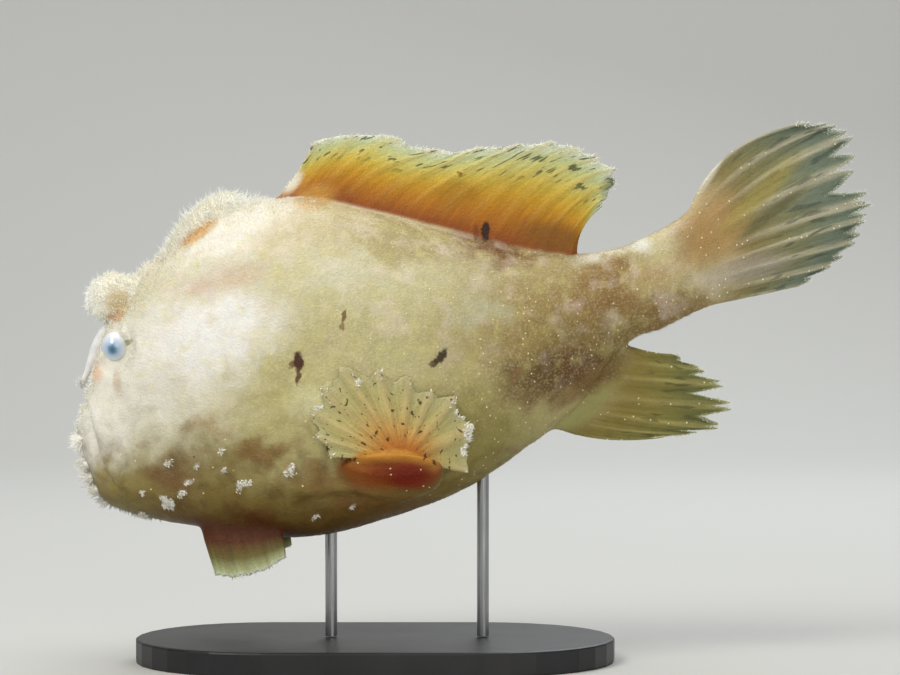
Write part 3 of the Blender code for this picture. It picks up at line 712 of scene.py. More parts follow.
work = bmesh.new()
work.from_mesh(skin_mesh)
bmesh.ops.dissolve_degenerate(work, edges=work.edges, dist=DEGENERATE_MM * MM)
owner = work.faces.layers.int["patch"]
welded = set()
for vert in work.verts:
    owners = {face[owner] for face in vert.link_faces}
    if len(owners) > 1 and PATCHES[max(owners)]["kind"] in THICK_KINDS:
        welded.add(vert)
        welded.update(edge.other_vert(vert) for edge in vert.link_edges)
welded = [vert for vert in work.verts if vert in welded]
bmesh.ops.remove_doubles(work, verts=welded, dist=WELD_MM * MM)
print("edges without two faces:", sum(not edge.is_manifold for edge in work.edges))
work.to_mesh(skin_mesh)
work.free()
points = read_values(skin_mesh, "position", 3) / MM
joins, joined_patch = join_points(skin_mesh)
to_join = distance_to(points, points[joins])
kind_of = np.array([patch["kind"] for patch in PATCHES])
soft = read_values(skin_mesh, "position", 3)
for kind, (join_reach, guarded, plain) in JOIN_SOFTNESS.items():
    gap = distance_to(points, points[joins[kind_of[joined_patch] == kind]])
    pull = 1 - smooth_step(0.3 * join_reach, join_reach, gap)
    soft = relaxed(skin_mesh, soft, pull, 3)
    soft = relaxed(skin_mesh, soft, pull, guarded, SHRINK_GUARD)
    soft = relaxed(skin_mesh, soft, pull, plain)
hump_joins = joins[(kind_of[joined_patch] == "spine") & (points[joins, 0] > HUMP_JOINS_FROM)]
pull = 1 - smooth_step(0.3 * HUMP_REACH, HUMP_REACH, distance_to(points, points[hump_joins]))
pull = pull * smooth_step(*HUMP_FRONT, points[:, 0]) * (1 - smooth_step(*HUMP_REAR, points[:, 0]))
soft = relaxed(skin_mesh, soft, pull, HUMP_ROUNDS)
soft = relaxed(skin_mesh, soft, 1 - smooth_step(0.3 * LAST_REACH, LAST_REACH, to_join), LAST_ROUNDS)
skin_mesh.vertices.foreach_set("co", soft.astype(np.float32).ravel())
skin_mesh.update()
for kind, (spread, rounds) in TINT_SPREAD.items():
    reach = read_values(skin_mesh, kind)
    outside = (reach <= 0) & (to_join < spread)
    reach = relaxed(skin_mesh, reach, outside * (1 - smooth_step(spread * 0.5, spread, to_join)), rounds)
    skin_mesh.attributes[kind].data.foreach_set("value", reach.astype(np.float32).ravel())
print("join points:", len(joins))

# %% [markdown]
# ## Lips, lids and folds
# The mouth is a soft crease down the front of the face, with a rounded lip on each side of it.
# The eye sits in a cup whose rim is the lid, and loose skin makes a fold under the arm. Each is
# a small push along the skin's own normal, worked out from the distance to a line or a point,
# much as a sculptor draws a tool along the clay.

# %% Sculpting
CLEFT = ((-74.5, -10.0), (-71.2, -13.5), (-69.2, -20.0), (-67.3, -27.0), (-64.8, -31.5), (-62.0, -36.5))
ARM_FOLD_RIDGE = ((-19.0, -33.6), (-11.0, -33.3), (-5.6, -32.9), (-0.5, -34.0), (8.3, -36.8))
ARM_FOLD_CREASE = ((-22.0, -37.4), (-12.0, -36.0), (-5.5, -35.2), (0.5, -35.8), (5.5, -36.4))
EYE_RADIUS = 3.5
EYE_PLACE = np.array((-64.0, 10.2, 1.2))
EYE_AXIS = np.array((-0.05, 0.998, -0.04))
EYE_STRETCH = 1.1
SADDLE_WIDTH = 7.5
SADDLE_HEIGHT = 2.6
SADDLES = ((-57.5, 3.5), (-42.5, 8.0))
LID_RADIUS = 3.15
LID_STRETCH = 1.15
LID_HEIGHT = 0.6


def distance_to_line(flat, line, steps=60):
    """Distance from (x, z) pairs to a smooth curve through a row of points."""
    curve = curve_through(line, np.linspace(0, len(line) - 1, steps))
    best = np.full(len(flat), 99.0)
    for start, end in zip(curve, curve[1:]):
        along = end - start
        share = np.clip(((flat - start) @ along) / (along @ along), 0, 1)
        best = np.minimum(best, np.linalg.norm(flat - start - share[:, None] * along, axis=1))
    return best


def noise_field(points, size, seed=0.0):
    """Smooth noise from -1 to 1 whose lumps are about size millimetres across."""
    shift = Vector((seed, seed * 1.7, seed * 0.6))
    return np.array([noise.noise(Vector(point) / size + shift) for point in points])


def saddle_lift(points):
    """How far the skin rises beside the two head spines, so that they grow out of the head."""
    top = curve_through(BODY_ROWS, np.linspace(1.0, 9.0, 200))[:, 0:2]
    over = points[:, 2] - np.interp(points[:, 0], top[:, 0], top[:, 1])
    beside = np.exp(-(points[:, 1] / SADDLE_WIDTH) ** 2 - (np.maximum(over, 0) / 4.0) ** 2) * (over > -9)
    return SADDLE_HEIGHT * beside * sum(bump_at(points[:, 0], x, wide) for x, wide in SADDLES)


def face_pushes(points):
    """How far the mouth and the folds push the skin outwards, in millimetres."""
    flat = points[:, (0, 2)]
    on_face = 1 - smooth_step(-60.5, -58.0, points[:, 0])
    mouth = distance_to_line(flat, CLEFT)
    fade = smooth_step(-37.5, -29.0, points[:, 2]) * on_face
    push = fade * (0.5 * bump_at(mouth, 1.7, 0.9) - 1.15 * bump_at(mouth, 0.0, 0.55))
    out = np.abs(points[:, 1])
    low_flank = smooth_step(14.0, 18.0, out) * (1 - smooth_step(24.0, 27.0, out))
    near_arm = smooth_step(-24.0, -14.0, flat[:, 0]) * (1 - smooth_step(6.0, 12.0, flat[:, 0]))
    near_arm = near_arm * low_flank
    ridge = distance_to_line(flat, ARM_FOLD_RIDGE)
    crease = distance_to_line(flat, ARM_FOLD_CREASE)
    return push + near_arm * (0.7 * bump_at(ridge, 0.0, 1.1) - 0.9 * bump_at(crease, 0.0, 0.9))


def skin_points():
    """The skin's points in mm in the fish's frame, and their unit normals."""
    found = np.zeros(len(skin_mesh.vertices) * 3, np.float32)
    skin_mesh.vertices.foreach_get("normal", found)
    places = read_values(skin_mesh, "position", 3) / MM - (0, 0, SWIM_HEIGHT)
    return places, found.reshape(-1, 3).astype(float)


def triangle_count(mesh):
    """How many triangles a mesh's faces make."""
    return sum(len(face.vertices) - 2 for face in mesh.polygons)


points, normals = skin_points()
on_fin = sum(read_values(skin_mesh, kind) for kind in FIN_KINDS if kind not in ("spine", "arm"))
lumps = 0.3 * noise_field(points, 7.0) + 0.14 * noise_field(points, 2.2, 3.0)
points += normals * ((lumps * (1 - smooth_step(0.0, 0.25, on_fin)) + face_pushes(points))[:, None])
points[:, 2] += saddle_lift(points)
for side in (-1, 1):
    centre = EYE_PLACE * (1, side, 1)
    axis = EYE_AXIS * (1, side, 1) / np.linalg.norm(EYE_AXIS)
    away = points - centre
    height = away @ axis
    flat = away - height[:, None] * axis
    ring = np.linalg.norm(flat * (1, 1, 1 / LID_STRETCH), axis=1)
    cup = 1.2 + 0.65 * smooth_step(LID_RADIUS - 0.9, LID_RADIUS, ring)
    rim = LID_HEIGHT * bump_at(ring, LID_RADIUS + 0.75, 0.6)
    blend = (1 - smooth_step(LID_RADIUS + 0.2, LID_RADIUS + 3.4, ring)) * (height > 0)
    points += axis * ((np.minimum(cup - height, 0.6) * blend + rim * (height > 0))[:, None])
skin_mesh.vertices.foreach_set("co", to_world(points).astype(np.float32).ravel())
skin_mesh.update()
skin_mesh.shade_smooth()
skin = put_in_scene("skin", skin_mesh)
print("skin triangles:", triangle_count(skin_mesh))

# %% [markdown]
# ## Paint tools
# Colours are written as hex values, as a painter's chart would give them, and one function turns
# them into the linear values that Blender mixes with. A second one adds a node, fills its
# sockets and sets its options, so that each material below reads as a list of what it does.

# %% Node helpers
def linear(hex_colour):
    """An sRGB hex colour as a linear RGBA value."""
    parts = [int(hex_colour[k:k + 2], 16) / 255 for k in (1, 3, 5)]
    return (*[c / 12.92 if c <= 0.04045 else ((c + 0.055) / 1.055) ** 2.4 for c in parts], 1.0)


def fill(tree, node, sockets):
    """Fills a node's sockets with values, or with links from the outputs of other nodes."""
    for socket, value in dict(sockets).items():
        if isinstance(value, bpy.types.NodeSocket):
            tree.links.new(value, node.inputs[socket])
        else:
            node.inputs[socket].default_value = value
    return node


def add(tree, kind, sockets=(), stops=(), **settings):
    """Adds a node, sets its options, fills its sockets, and gives a ramp stops of (place, hex colour)."""
    node = tree.nodes.new(kind)
    for name, value in settings.items():
        setattr(node, name, value)
    for number, (place, colour) in enumerate(stops):
        marks = node.color_ramp.elements
        if number == 0:
            marks.remove(marks[-1])
        stop = marks.new(place) if number else marks[0]
        stop.position = place
        stop.color = linear(colour)
    return fill(tree, node, sockets)


def new_finish(name):
    """A new material with its node tree and its shader."""
    made = bpy.data.materials.new(name)
    made.use_nodes = True
    return made, made.node_tree, made.node_tree.nodes["Principled BSDF"]


print("white is", linear("#FFFFFF"))

# %% [markdown]
# ## The frogfish's markings and painted shade
# The living fish is cream white on the head and back and turns straw, olive and brown towards
# the belly, with a few dark spots and rust in the fins. Part of that darkening towards the belly
# and the tail is painted shade, as if lit from above the head, and the pale upper back holds a
# painted highlight. The ground tint is a ramp over the height; on it lie soft washes, each an
# oval in side view with a blurred, wandering edge. The same function paints skin and coat, so
# both always agree.

# %% Ground tint, washes and painted shade
# Darker towards the bottom: partly the fish's own straw and brown, partly painted shade under the body.
GROUND_TINT_AND_SHADE = (
    (0.0, "#54390F"), (0.07, "#6E5220"), (0.14, "#877236"), (0.22, "#A0925A"), (0.32, "#BAB078"),
    (0.42, "#C8BF88"), (0.52, "#C2BA88"), (0.62, "#C0B886"), (0.72, "#CCC598"), (0.82, "#D4CDA6"),
    (0.92, "#D2C69E"), (1.0, "#DCD0AC"))
GROUND_LOW = 31.0
GROUND_HIGH = 116.0
THROUGH = 1e4
WASHES = (
    # hex colour, x, z, half length, half height, turn in degrees, strength
    # the darker rows over the rear half are partly the fish's own olive and brown, partly painted shade
    # where the light falls off towards the tail
    ("#A38C52", 50.0, 6.0, 46.0, 31.0, 0, 0.95),
    ("#86703A", 52.0, 1.0, 28.0, 15.0, 15, 0.9),
    ("#64401A", 46.0, -5.0, 18.0, 7.6, 10, 0.9),
    ("#92703F", 57.0, 15.0, 17.0, 10.0, 15, 0.85),
    ("#67501C", 38.0, -8.0, 13.0, 9.0, 10, 0.6),
    ("#866836", 74.0, 9.0, 16.0, 7.4, 22, 0.9),
    ("#C0A878", 72.0, 20.0, 13.0, 6.5, 28, 0.8),
    ("#A5885A", 80.0, 28.0, 9.0, 8.0, 40, 0.75),
    ("#E4E3D6", 61.0, 27.5, 17.0, 5.0, 20, 0.95),
    ("#C5C3A3", 25.0, 10.0, 11.0, 8.0, 0, 0.7),
    ("#B0A270", 9.0, 26.0, 24.0, 6.5, -12, 0.9),
    ("#80552C", 31.0, 25.5, 16.0, 6.4, -14, 0.9),
    ("#968A42", 24.0, -20.0, 19.0, 18.0, -30, 0.8),
    ("#B7AE74", -27.0, -7.0, 15.0, 11.0, 30, 0.8),
    ("#E9E6DB", -57.0, -3.0, 37.0, 29.0, 0, 0.95),
    ("#F3F2EF", -38.0, 6.0, 25.0, 15.0, 14, 0.95),
    # a pale band over the upper back: partly the fish's own cream, partly a painted highlight
    ("#F3EFE5", -36.0, 31.0, 30.0, 11.0, 28, 0.95),
    ("#DCCEC2", -38.0, 18.0, 18.0, 6.0, 22, 0.65),
    ("#DDD9C2", -8.0, 19.0, 16.0, 8.0, -5, 0.6),
    ("#F0EDE4", -69.0, -19.0, 14.0, 14.0, 0, 0.9),
    ("#DEDBB0", -14.0, -12.5, 9.0, 7.0, 0, 0.7),
    ("#BFB67E", -18.0, -26.0, 11.0, 7.0, 0, 0.7),
    ("#B6B08C", -44.0, -21.0, 11.0, 6.0, 0, 0.6),
    # the browns along the belly and under the throat are partly the fish's own colour, partly painted
    # shade under the body
    ("#8C7A4A", -40.0, -26.0, 19.0, 6.0, 5, 0.6),
    ("#7A5324", -50.0, -29.5, 10.0, 5.5, 0, 0.8),
    ("#85612C", -27.0, -23.5, 11.0, 5.0, 5, 0.75),
    ("#A08050", -40.0, -17.5, 6.0, 4.5, 0, 0.55),
    ("#84602C", -14.0, -30.0, 11.0, 4.5, -8, 0.6),
    ("#A5934F", -61.0, -34.0, 13.0, 7.0, -15, 0.6),
    ("#77702F", -59.0, -40.0, 12.0, 6.5, -20, 0.7),
    ("#7C5422", 0.0, -36.5, 17.0, 4.5, 0, 0.75),
    ("#5A2C0A", -34.0, -45.0, 18.0, 8.0, 0, 0.85),
)
SPOTS = (
    # the same columns as the washes
    ("#4A2410", -18.0, -1.8, 1.9, 3.4, 12, 1.0),
    ("#5A3218", -18.1, -5.2, 0.9, 3.0, -4, 0.9),
    ("#7A4A20", -19.6, -2.6, 1.0, 1.2, 0, 0.8),
    ("#6A4420", -7.0, 9.2, 1.0, 2.4, -8, 0.85),
    ("#7A5A34", -7.4, 6.6, 0.7, 1.6, 0, 0.7),
    ("#33200E", 16.6, -0.6, 1.5, 3.4, -36, 0.95),
    ("#4A3014", 14.8, -2.4, 1.2, 1.8, -60, 0.85),
    ("#2A1206", 27.6, 29.8, 1.5, 3.4, 0, 0.95),
    ("#6B3A14", 25.2, 29.6, 1.2, 2.6, 5, 0.6),
    ("#8A6438", 35.0, -5.5, 2.0, 3.6, -40, 0.5),
    ("#8C8A4A", -60.6, 2.4, 2.4, 0.9, 24, 0.75),
    ("#4A3C2A", -43.6, -25.5, 0.5, 0.5, 0, 0.9),
    ("#6A4418", 21.3, 44.0, 0.9, 0.9, 0, 0.7),
)
FAN_FLECKS = (
    # x, z, half length, turn in degrees: dried-looking brown flecks across the palm's upper rim
    (-9.7, -12.6, 1.0, 40), (-6.4, -11.6, 1.1, 70), (1.0, -19.0, 1.2, 60), (2.1, -23.0, 0.7, 20),
    (-2.3, -21.8, 0.9, -30), (-11.0, -22.8, 1.1, 80), (-7.6, -25.3, 1.0, 60), (-4.6, -25.6, 1.1, 20),
    (11.5, -12.1, 1.0, -50), (5.1, -13.6, 0.8, 20), (12.8, -25.0, 1.2, 80), (14.8, -26.4, 1.1, -50),
    (9.5, -14.4, 0.7, 70), (11.5, -19.0, 0.8, 10), (3.6, -20.5, 0.8, 50), (7.2, -16.8, 0.6, -20))
SPOTS += tuple(("#4E2A10", x, z, long, 0.45, turn, 0.9) for x, z, long, turn in FAN_FLECKS)
# the arm's pad: orange at the wrist and deep red below it; the red is partly the pad's own colour, partly
# painted shade on its underside
PALM = (
    ("#C8892C", 4.0, -24.4, 15.0, 4.6, -2, 0.95),
    ("#9A5618", 1.0, -29.0, 15.0, 4.4, -4, 0.9),
    ("#8A3A0C", 6.0, -28.8, 11.0, 4.6, 0, 0.95),
    ("#801F04", 9.0, -29.8, 7.5, 4.4, 0, 0.9),
    ("#8A6834", -10.5, -31.0, 7.0, 5.0, -20, 0.9),
    ("#84662C", 3.0, -36.0, 15.0, 4.2, 0, 0.85),
)
FIN_WASHES = (
    ("#B08C52", 84.0, 30.0, 11.0, 14.0, -25, 0.85),
    ("#B8B0A8", 92.0, 20.0, 17.0, 5.0, 14, 0.45),
    ("#A8994E", 96.0, 39.0, 19.0, 3.8, 45, 0.65),
    ("#5A5634", 99.0, 34.0, 17.0, 1.8, 38, 0.6),
    ("#E9E6D4", 84.0, 45.5, 10.0, 2.2, 60, 0.8),
    ("#A9A864", 52.0, -15.0, 15.0, 3.4, 38, 0.65),
    ("#7A5826", 52.0, -8.0, 13.0, 3.4, 36, 0.6),
    ("#7A5010", 45.0, 28.0, 13.0, 5.5, -12, 0.7),
    ("#F1EEDC", -20.5, 42.0, 5.0, 2.4, 52, 0.8),
    # tan-orange stripe where the third spine meets the head: partly its own tan, partly painted shade in
    # the fold
    ("#DCAA5A", -43.6, 29.2, 8.0, 2.2, 36, 0.8),
    ("#D8BE80", -63.6, 12.0, 4.4, 4.4, 0, 0.75),
    # orange where the knob meets the head: partly its own tan, partly painted shade under the knob
    ("#D69C50", -64.4, 8.6, 3.4, 2.0, 10, 0.7),
    ("#EFC6A4", -68.6, -5.0, 2.8, 3.6, 10, 0.6),
    ("#B89468", -63.0, -7.2, 1.6, 4.4, 5, 0.4),
    ("#CDB08A", -33.0, 18.5, 9.0, 3.6, 14, 0.35),
    ("#D8A84C", -15.0, 38.0, 7.5, 4.5, 20, 0.6),
    ("#9A6A10", 21.0, 39.0, 8.0, 5.0, 0, 0.5),
    ("#66704F", 59.0, 40.0, 3.4, 5.4, 0, 0.6),
    ("#D2AE8A", -42.5, 16.0, 5.0, 2.6, 20, 0.4),
)


def ovals(tree, place, under, rows, edge):
    """Lays soft or sharp ovals over a colour. Place is in mm, and edge gives the blur."""
    for colour, x, z, long, high, turn, strength in rows:
        spot = add(tree, "ShaderNodeMapping", {
            "Vector": place, "Location": (x, 0.0, z + SWIM_HEIGHT),
            "Rotation": (0, -math.radians(turn), 0), "Scale": (long, THROUGH, high)},
            vector_type="TEXTURE")
        inside = add(tree, "ShaderNodeTexGradient", {"Vector": spot.outputs[0]},
                     gradient_type="SPHERICAL")
        share = add(tree, "ShaderNodeMapRange", {
            "Value": inside.outputs["Fac"], "From Min": edge[0], "From Max": edge[1], "To Max": strength},
            interpolation_type="SMOOTHSTEP")
        under = add(tree, "ShaderNodeMix", {0: share.outputs[0], 6: under, 7: linear(colour)},
                    data_type="RGBA").outputs[2]
    return under


print("washes:", len(WASHES), "spots:", len(SPOTS))

# %% [markdown]
# ## Fin colours
# The fins are painted along their rays: the skin mesh knows how far out each point lies and
# which ray is nearest. Each fin has a ramp from root to tip, a paler tint on the rays, and small
# dark dashes that run along them.

# %% Fin paint
FIN_RAMPS = {
    # kind: how its colour sets in over the body, and its colours from root to tip
    "dorsal": ((0.04, 0.13), ((0.0, "#8E4416"), (0.15, "#97500F"), (0.24, "#A9650C"), (0.36, "#B97A0E"),
                              (0.5, "#C6961E"), (0.63, "#CBB040"), (0.76, "#CEC672"), (0.88, "#C6CE96"),
                              (1.0, "#E8ECD8"))),
    "caudal": ((0.02, 0.4), ((0.0, "#A68E60"), (0.25, "#957F4C"), (0.45, "#8A8050"), (0.65, "#80805A"),
                             (0.85, "#6F7B68"), (0.95, "#66735F"), (1.0, "#B4BCA8"))),
    "anal": ((0.02, 0.4), ((0.0, "#8C7A38"), (0.4, "#8C7C38"), (0.7, "#7A7436"), (0.93, "#646838"),
                           (1.0, "#A8AC78"))),
    "pectoral": ((0.0, 0.02), ((0.0, "#B05A18"), (0.16, "#C07A2C"), (0.34, "#C89C50"), (0.55, "#C0AE6C"),
                               (0.75, "#BAB072"), (1.0, "#BCB684"))),
    "pelvic": ((0.05, 0.45), ((0.0, "#5A2C08"), (0.3, "#4E1E02"), (0.5, "#582A06"), (0.74, "#6C6430"),
                              (0.92, "#A9B080"), (1.0, "#D0D4BC"))),
    "arm": ((0.12, 0.6), ((0.0, "#7C6430"), (0.4, "#80592A"), (0.75, "#8E5420"), (1.0, "#B47C34"))),
    "spine": ((0.02, 0.4), ((0.0, "#F6F3EA"), (0.3, "#F3EEDE"), (0.6, "#F3EEDC"), (1.0, "#FAF9F4"))),
}
RAY_TINTS = {"dorsal": ("#E2C060", 0.2), "caudal": ("#C6BFA4", 0.6), "anal": ("#ACA468", 0.5),
             "pectoral": ("#D2B888", 0.3), "pelvic": ("#8A5A2C", 0.1)}
BLOTCHES = (
    # hex colour, lumps per mm, distortion, strength, height where they begin, height where they are full
    ("#DDB596", 0.16, 0.3, 0.22, 70.0, 90.0),
    ("#D9CF86", 0.26, 0.0, 0.28, 55.0, 75.0),
    ("#FFFFFA", 0.16, 0.2, 0.22, 66.0, 92.0),
    ("#F6E6B8", 1.6, 0.0, 0.25, 45.0, 70.0),
    ("#4A3812", 0.22, 0.4, 0.35, 70.0, 45.0),
    ("#6E4A1C", 0.16, 0.6, 0.4, 80.0, 50.0),
)
DASHES = {
    # kind: colour, start along the fin, cells per ray, cells along, threshold, strength
    "dorsal": ("#3A4424", 0.66, 5.0, 10.0, 0.60, 0.8),
    "caudal": ("#3E483C", 0.5, 4.0, 6.0, 0.60, 0.6),
    "anal": ("#4A4820", 0.5, 4.0, 6.0, 0.60, 0.6),
    "pectoral": ("#5A3210", 0.1, 5.0, 14.0, 0.66, 0.9),
}
STREAKS = (5.0, 2.2)


def fin_colours(tree, under, place):
    """Paints every fin over the body colour, from its own reach and ray numbers."""
    ray = add(tree, "ShaderNodeAttribute", attribute_name="ray").outputs["Fac"]
    off_ray = add(tree, "ShaderNodeMath", {0: ray, 1: 1.0}, operation="PINGPONG")
    ray_share = add(tree, "ShaderNodeMath", {0: off_ray.outputs[0], 1: 0.5}, operation="PINGPONG")
    on_ray = add(tree, "ShaderNodeMapRange", {"Value": ray_share.outputs[0], "From Min": 0.26,
                                              "From Max": 0.06}, interpolation_type="SMOOTHSTEP")
    for kind, (fade_in, stops) in FIN_RAMPS.items():
        reach = add(tree, "ShaderNodeAttribute", attribute_name=kind).outputs["Fac"]
        colour = add(tree, "ShaderNodeValToRGB", {"Fac": reach}, stops).outputs["Color"]
        if kind == "arm":
            # the pad's orange and deep red, the red partly painted shade on its underside
            colour = ovals(tree, place, colour, PALM, (0.0, 0.6))
        if kind in RAY_TINTS:
            tint, strength = RAY_TINTS[kind]
            along = add(tree, "ShaderNodeMapRange", {"Value": reach, "From Min": 0.15, "From Max": 0.6,
                                                     "To Max": strength})
            share = add(tree, "ShaderNodeMath", {0: on_ray.outputs[0], 1: along.outputs[0]},
                        operation="MULTIPLY")
            colour = add(tree, "ShaderNodeMix", {0: share.outputs[0], 6: colour, 7: linear(tint)},
                         data_type="RGBA").outputs[2]
            cell = add(tree, "ShaderNodeCombineXYZ", {"X": ray, "Y": reach})
            fine = add(tree, "ShaderNodeVectorMath", {0: cell.outputs[0], 1: (*STREAKS, 1.0)},
                       operation="MULTIPLY")
            streak = add(tree, "ShaderNodeTexNoise", {"Vector": fine.outputs[0], "Scale": 1.0,
                                                      "Detail": 3.0})
            shade = add(tree, "ShaderNodeMapRange", {"Value": streak.outputs["Fac"], "From Min": 0.3,
                                                     "From Max": 0.7, "To Min": 0.82, "To Max": 1.14})
            colour = add(tree, "ShaderNodeVectorMath", {0: colour, "Scale": shade.outputs[0]},
                         operation="SCALE").outputs[0]
        if kind in DASHES:
            dark, start, per_ray, along_cells, threshold, strength = DASHES[kind]
            spread = add(tree, "ShaderNodeVectorMath", {
                0: cell.outputs[0], 1: (per_ray, along_cells, 1.0)}, operation="MULTIPLY")
            grain = add(tree, "ShaderNodeTexNoise", {"Vector": spread.outputs[0], "Scale": 1.0,
                                                     "Detail": 1.0, "Roughness": 0.4})
            dash = add(tree, "ShaderNodeMapRange", {"Value": grain.outputs["Fac"], "From Min": threshold,
                                                    "From Max": threshold + 0.06, "To Max": strength})
            zone = add(tree, "ShaderNodeMapRange", {"Value": reach, "From Min": start - 0.1,
                                                    "From Max": start + 0.1})
            share = add(tree, "ShaderNodeMath", {0: dash.outputs[0], 1: zone.outputs[0]},
                        operation="MULTIPLY")
            colour = add(tree, "ShaderNodeMix", {0: share.outputs[0], 6: colour, 7: linear(dark)},
                         data_type="RGBA").outputs[2]
        fade = add(tree, "ShaderNodeMapRange", {"Value": reach, "From Min": fade_in[0],
                                                "From Max": fade_in[1]}, interpolation_type="SMOOTHSTEP")
        under = add(tree, "ShaderNodeMix", {0: fade.outputs[0], 6: under, 7: colour},
                    data_type="RGBA").outputs[2]
    return ovals(tree, place, under, FIN_WASHES, (0.0, 0.7))


def markings(tree):
    """All of the fish's paint: its colour socket, and the place in millimetres it was painted at."""
    here = add(tree, "ShaderNodeTexCoord").outputs["Object"]
    place = add(tree, "ShaderNodeVectorMath", {0: here, "Scale": 1 / MM}, operation="SCALE").outputs[0]
    wander = add(tree, "ShaderNodeTexNoise", {"Vector": place, "Scale": 0.16, "Detail": 3.0})
    wander = add(tree, "ShaderNodeVectorMath", {0: wander.outputs["Color"], 1: (0.5, 0.5, 0.5)},
                 operation="SUBTRACT")
    drift = add(tree, "ShaderNodeVectorMath", {0: wander.outputs[0], 1: (14.0, 14.0, 14.0), 2: place},
                operation="MULTIPLY_ADD").outputs[0]
    height = add(tree, "ShaderNodeSeparateXYZ", {0: drift}).outputs["Z"]
    level = add(tree, "ShaderNodeMapRange", {"Value": height, "From Min": GROUND_LOW,
                                             "From Max": GROUND_HIGH}).outputs[0]
    # The ground tint darkens towards the bottom, partly as painted shade; the washes on it add painted
    # shade at the belly and tail and a painted highlight on the upper back.
    colour = add(tree, "ShaderNodeValToRGB", {"Fac": level}, GROUND_TINT_AND_SHADE).outputs["Color"]
    colour = ovals(tree, drift, colour, WASHES, (0.0, 0.75))
    for tint, scale, shift, strength, begin, full in BLOTCHES:
        cloud = add(tree, "ShaderNodeTexNoise", {"Vector": place, "Scale": scale, "Detail": 3.0,
                                                 "Distortion": shift})
        zone = add(tree, "ShaderNodeMapRange", {"Value": height, "From Min": begin, "From Max": full,
                                                "To Max": strength})
        share = add(tree, "ShaderNodeMapRange", {"Value": cloud.outputs["Fac"], "From Min": 0.5,
                                                 "From Max": 0.68, "To Max": zone.outputs[0]})
        colour = add(tree, "ShaderNodeMix", {0: share.outputs[0], 6: colour, 7: linear(tint)},
                     data_type="RGBA").outputs[2]
    colour = fin_colours(tree, colour, place)
    ragged = add(tree, "ShaderNodeTexNoise", {"Vector": place, "Scale": 0.75, "Detail": 3.0})
    ragged = add(tree, "ShaderNodeVectorMath", {0: ragged.outputs["Color"], 1: (0.5, 0.5, 0.5)},
                 operation="SUBTRACT")
    torn = add(tree, "ShaderNodeVectorMath", {0: ragged.outputs[0], 1: (2.2, 0.0, 2.2), 2: place},
               operation="MULTIPLY_ADD").outputs[0]
    return ovals(tree, torn, colour, SPOTS, (0.12, 0.5)), place


print("fins painted:", sorted(FIN_RAMPS))

# %% [markdown]
# ## Skin
# Frogfish skin is soft, scaleless and slightly slimy, so its sheen is broad. Fine mottling and a
# grain of half a millimetre stand for the bases of the prickles. Light sinks into real skin a
# little, but under this coat it can't be told from plain paint, which renders a fifth faster.

# %% Skin material
MOTTLE_MM = 2.4
GRAIN_MM = 0.55


def slimy_fish_skin():
    """Wet scaleless skin with the fish's markings, fine mottling and a pebbled grain."""
    made, tree, shader = new_finish("slimy_fish_skin")
    colour, place = markings(tree)
    mottle = add(tree, "ShaderNodeTexNoise", {"Vector": place, "Scale": 1 / MOTTLE_MM, "Detail": 4.0,
                                              "Roughness": 0.65})
    shade = add(tree, "ShaderNodeMapRange", {"Value": mottle.outputs["Fac"], "From Min": 0.3,
                                             "From Max": 0.7, "To Min": 0.92, "To Max": 1.06})
    colour = add(tree, "ShaderNodeVectorMath", {0: colour, "Scale": shade.outputs[0]}, operation="SCALE")
    under_tags = add(tree, "ShaderNodeAttribute", attribute_name="skin_tags").outputs["Fac"]
    under_tags = add(tree, "ShaderNodeMath", {0: under_tags, 1: 0.6}, operation="MULTIPLY").outputs[0]
    colour = add(tree, "ShaderNodeMix", {0: under_tags, 6: colour.outputs[0], 7: linear("#F4F2E6")},
                 data_type="RGBA").outputs[2]
    grain = add(tree, "ShaderNodeTexVoronoi", {"Vector": place, "Scale": 1 / GRAIN_MM, "Randomness": 0.9})
    folds = add(tree, "ShaderNodeTexNoise", {"Vector": place, "Scale": 0.9, "Detail": 3.0})
    height = add(tree, "ShaderNodeMath", {0: folds.outputs["Fac"], 1: 1.2, 2: grain.outputs["Distance"]},
                 operation="MULTIPLY_ADD")
    bump = add(tree, "ShaderNodeBump", {"Height": height.outputs[0], "Strength": 0.5,
                                        "Distance": 0.25 * MM})
    gloss = add(tree, "ShaderNodeMapRange", {"Value": mottle.outputs["Fac"], "To Min": 0.42,
                                             "To Max": 0.62})
    fill(tree, shader, {"Base Color": colour, "Roughness": gloss.outputs[0], "Normal": bump.outputs[0],
                        "IOR": 1.4})
    return made


skin_finish = slimy_fish_skin()
skin_mesh.materials.clear()
skin_mesh.materials.append(skin_finish)
print("skin nodes:", len(skin_finish.node_tree.nodes))

# %% [markdown]
# ## Where the coat grows
# A frogfish's skin is set with forked prickles that feel like velvet, and with loose tags of skin
# on the chin and along the fins. Each point of the skin gets a length, a direction to lie in, and
# for each kind of tuft a share of the full density. Combing each tuft by hand isn't possible at
# this count; maps like these are how a groomer would start as well.

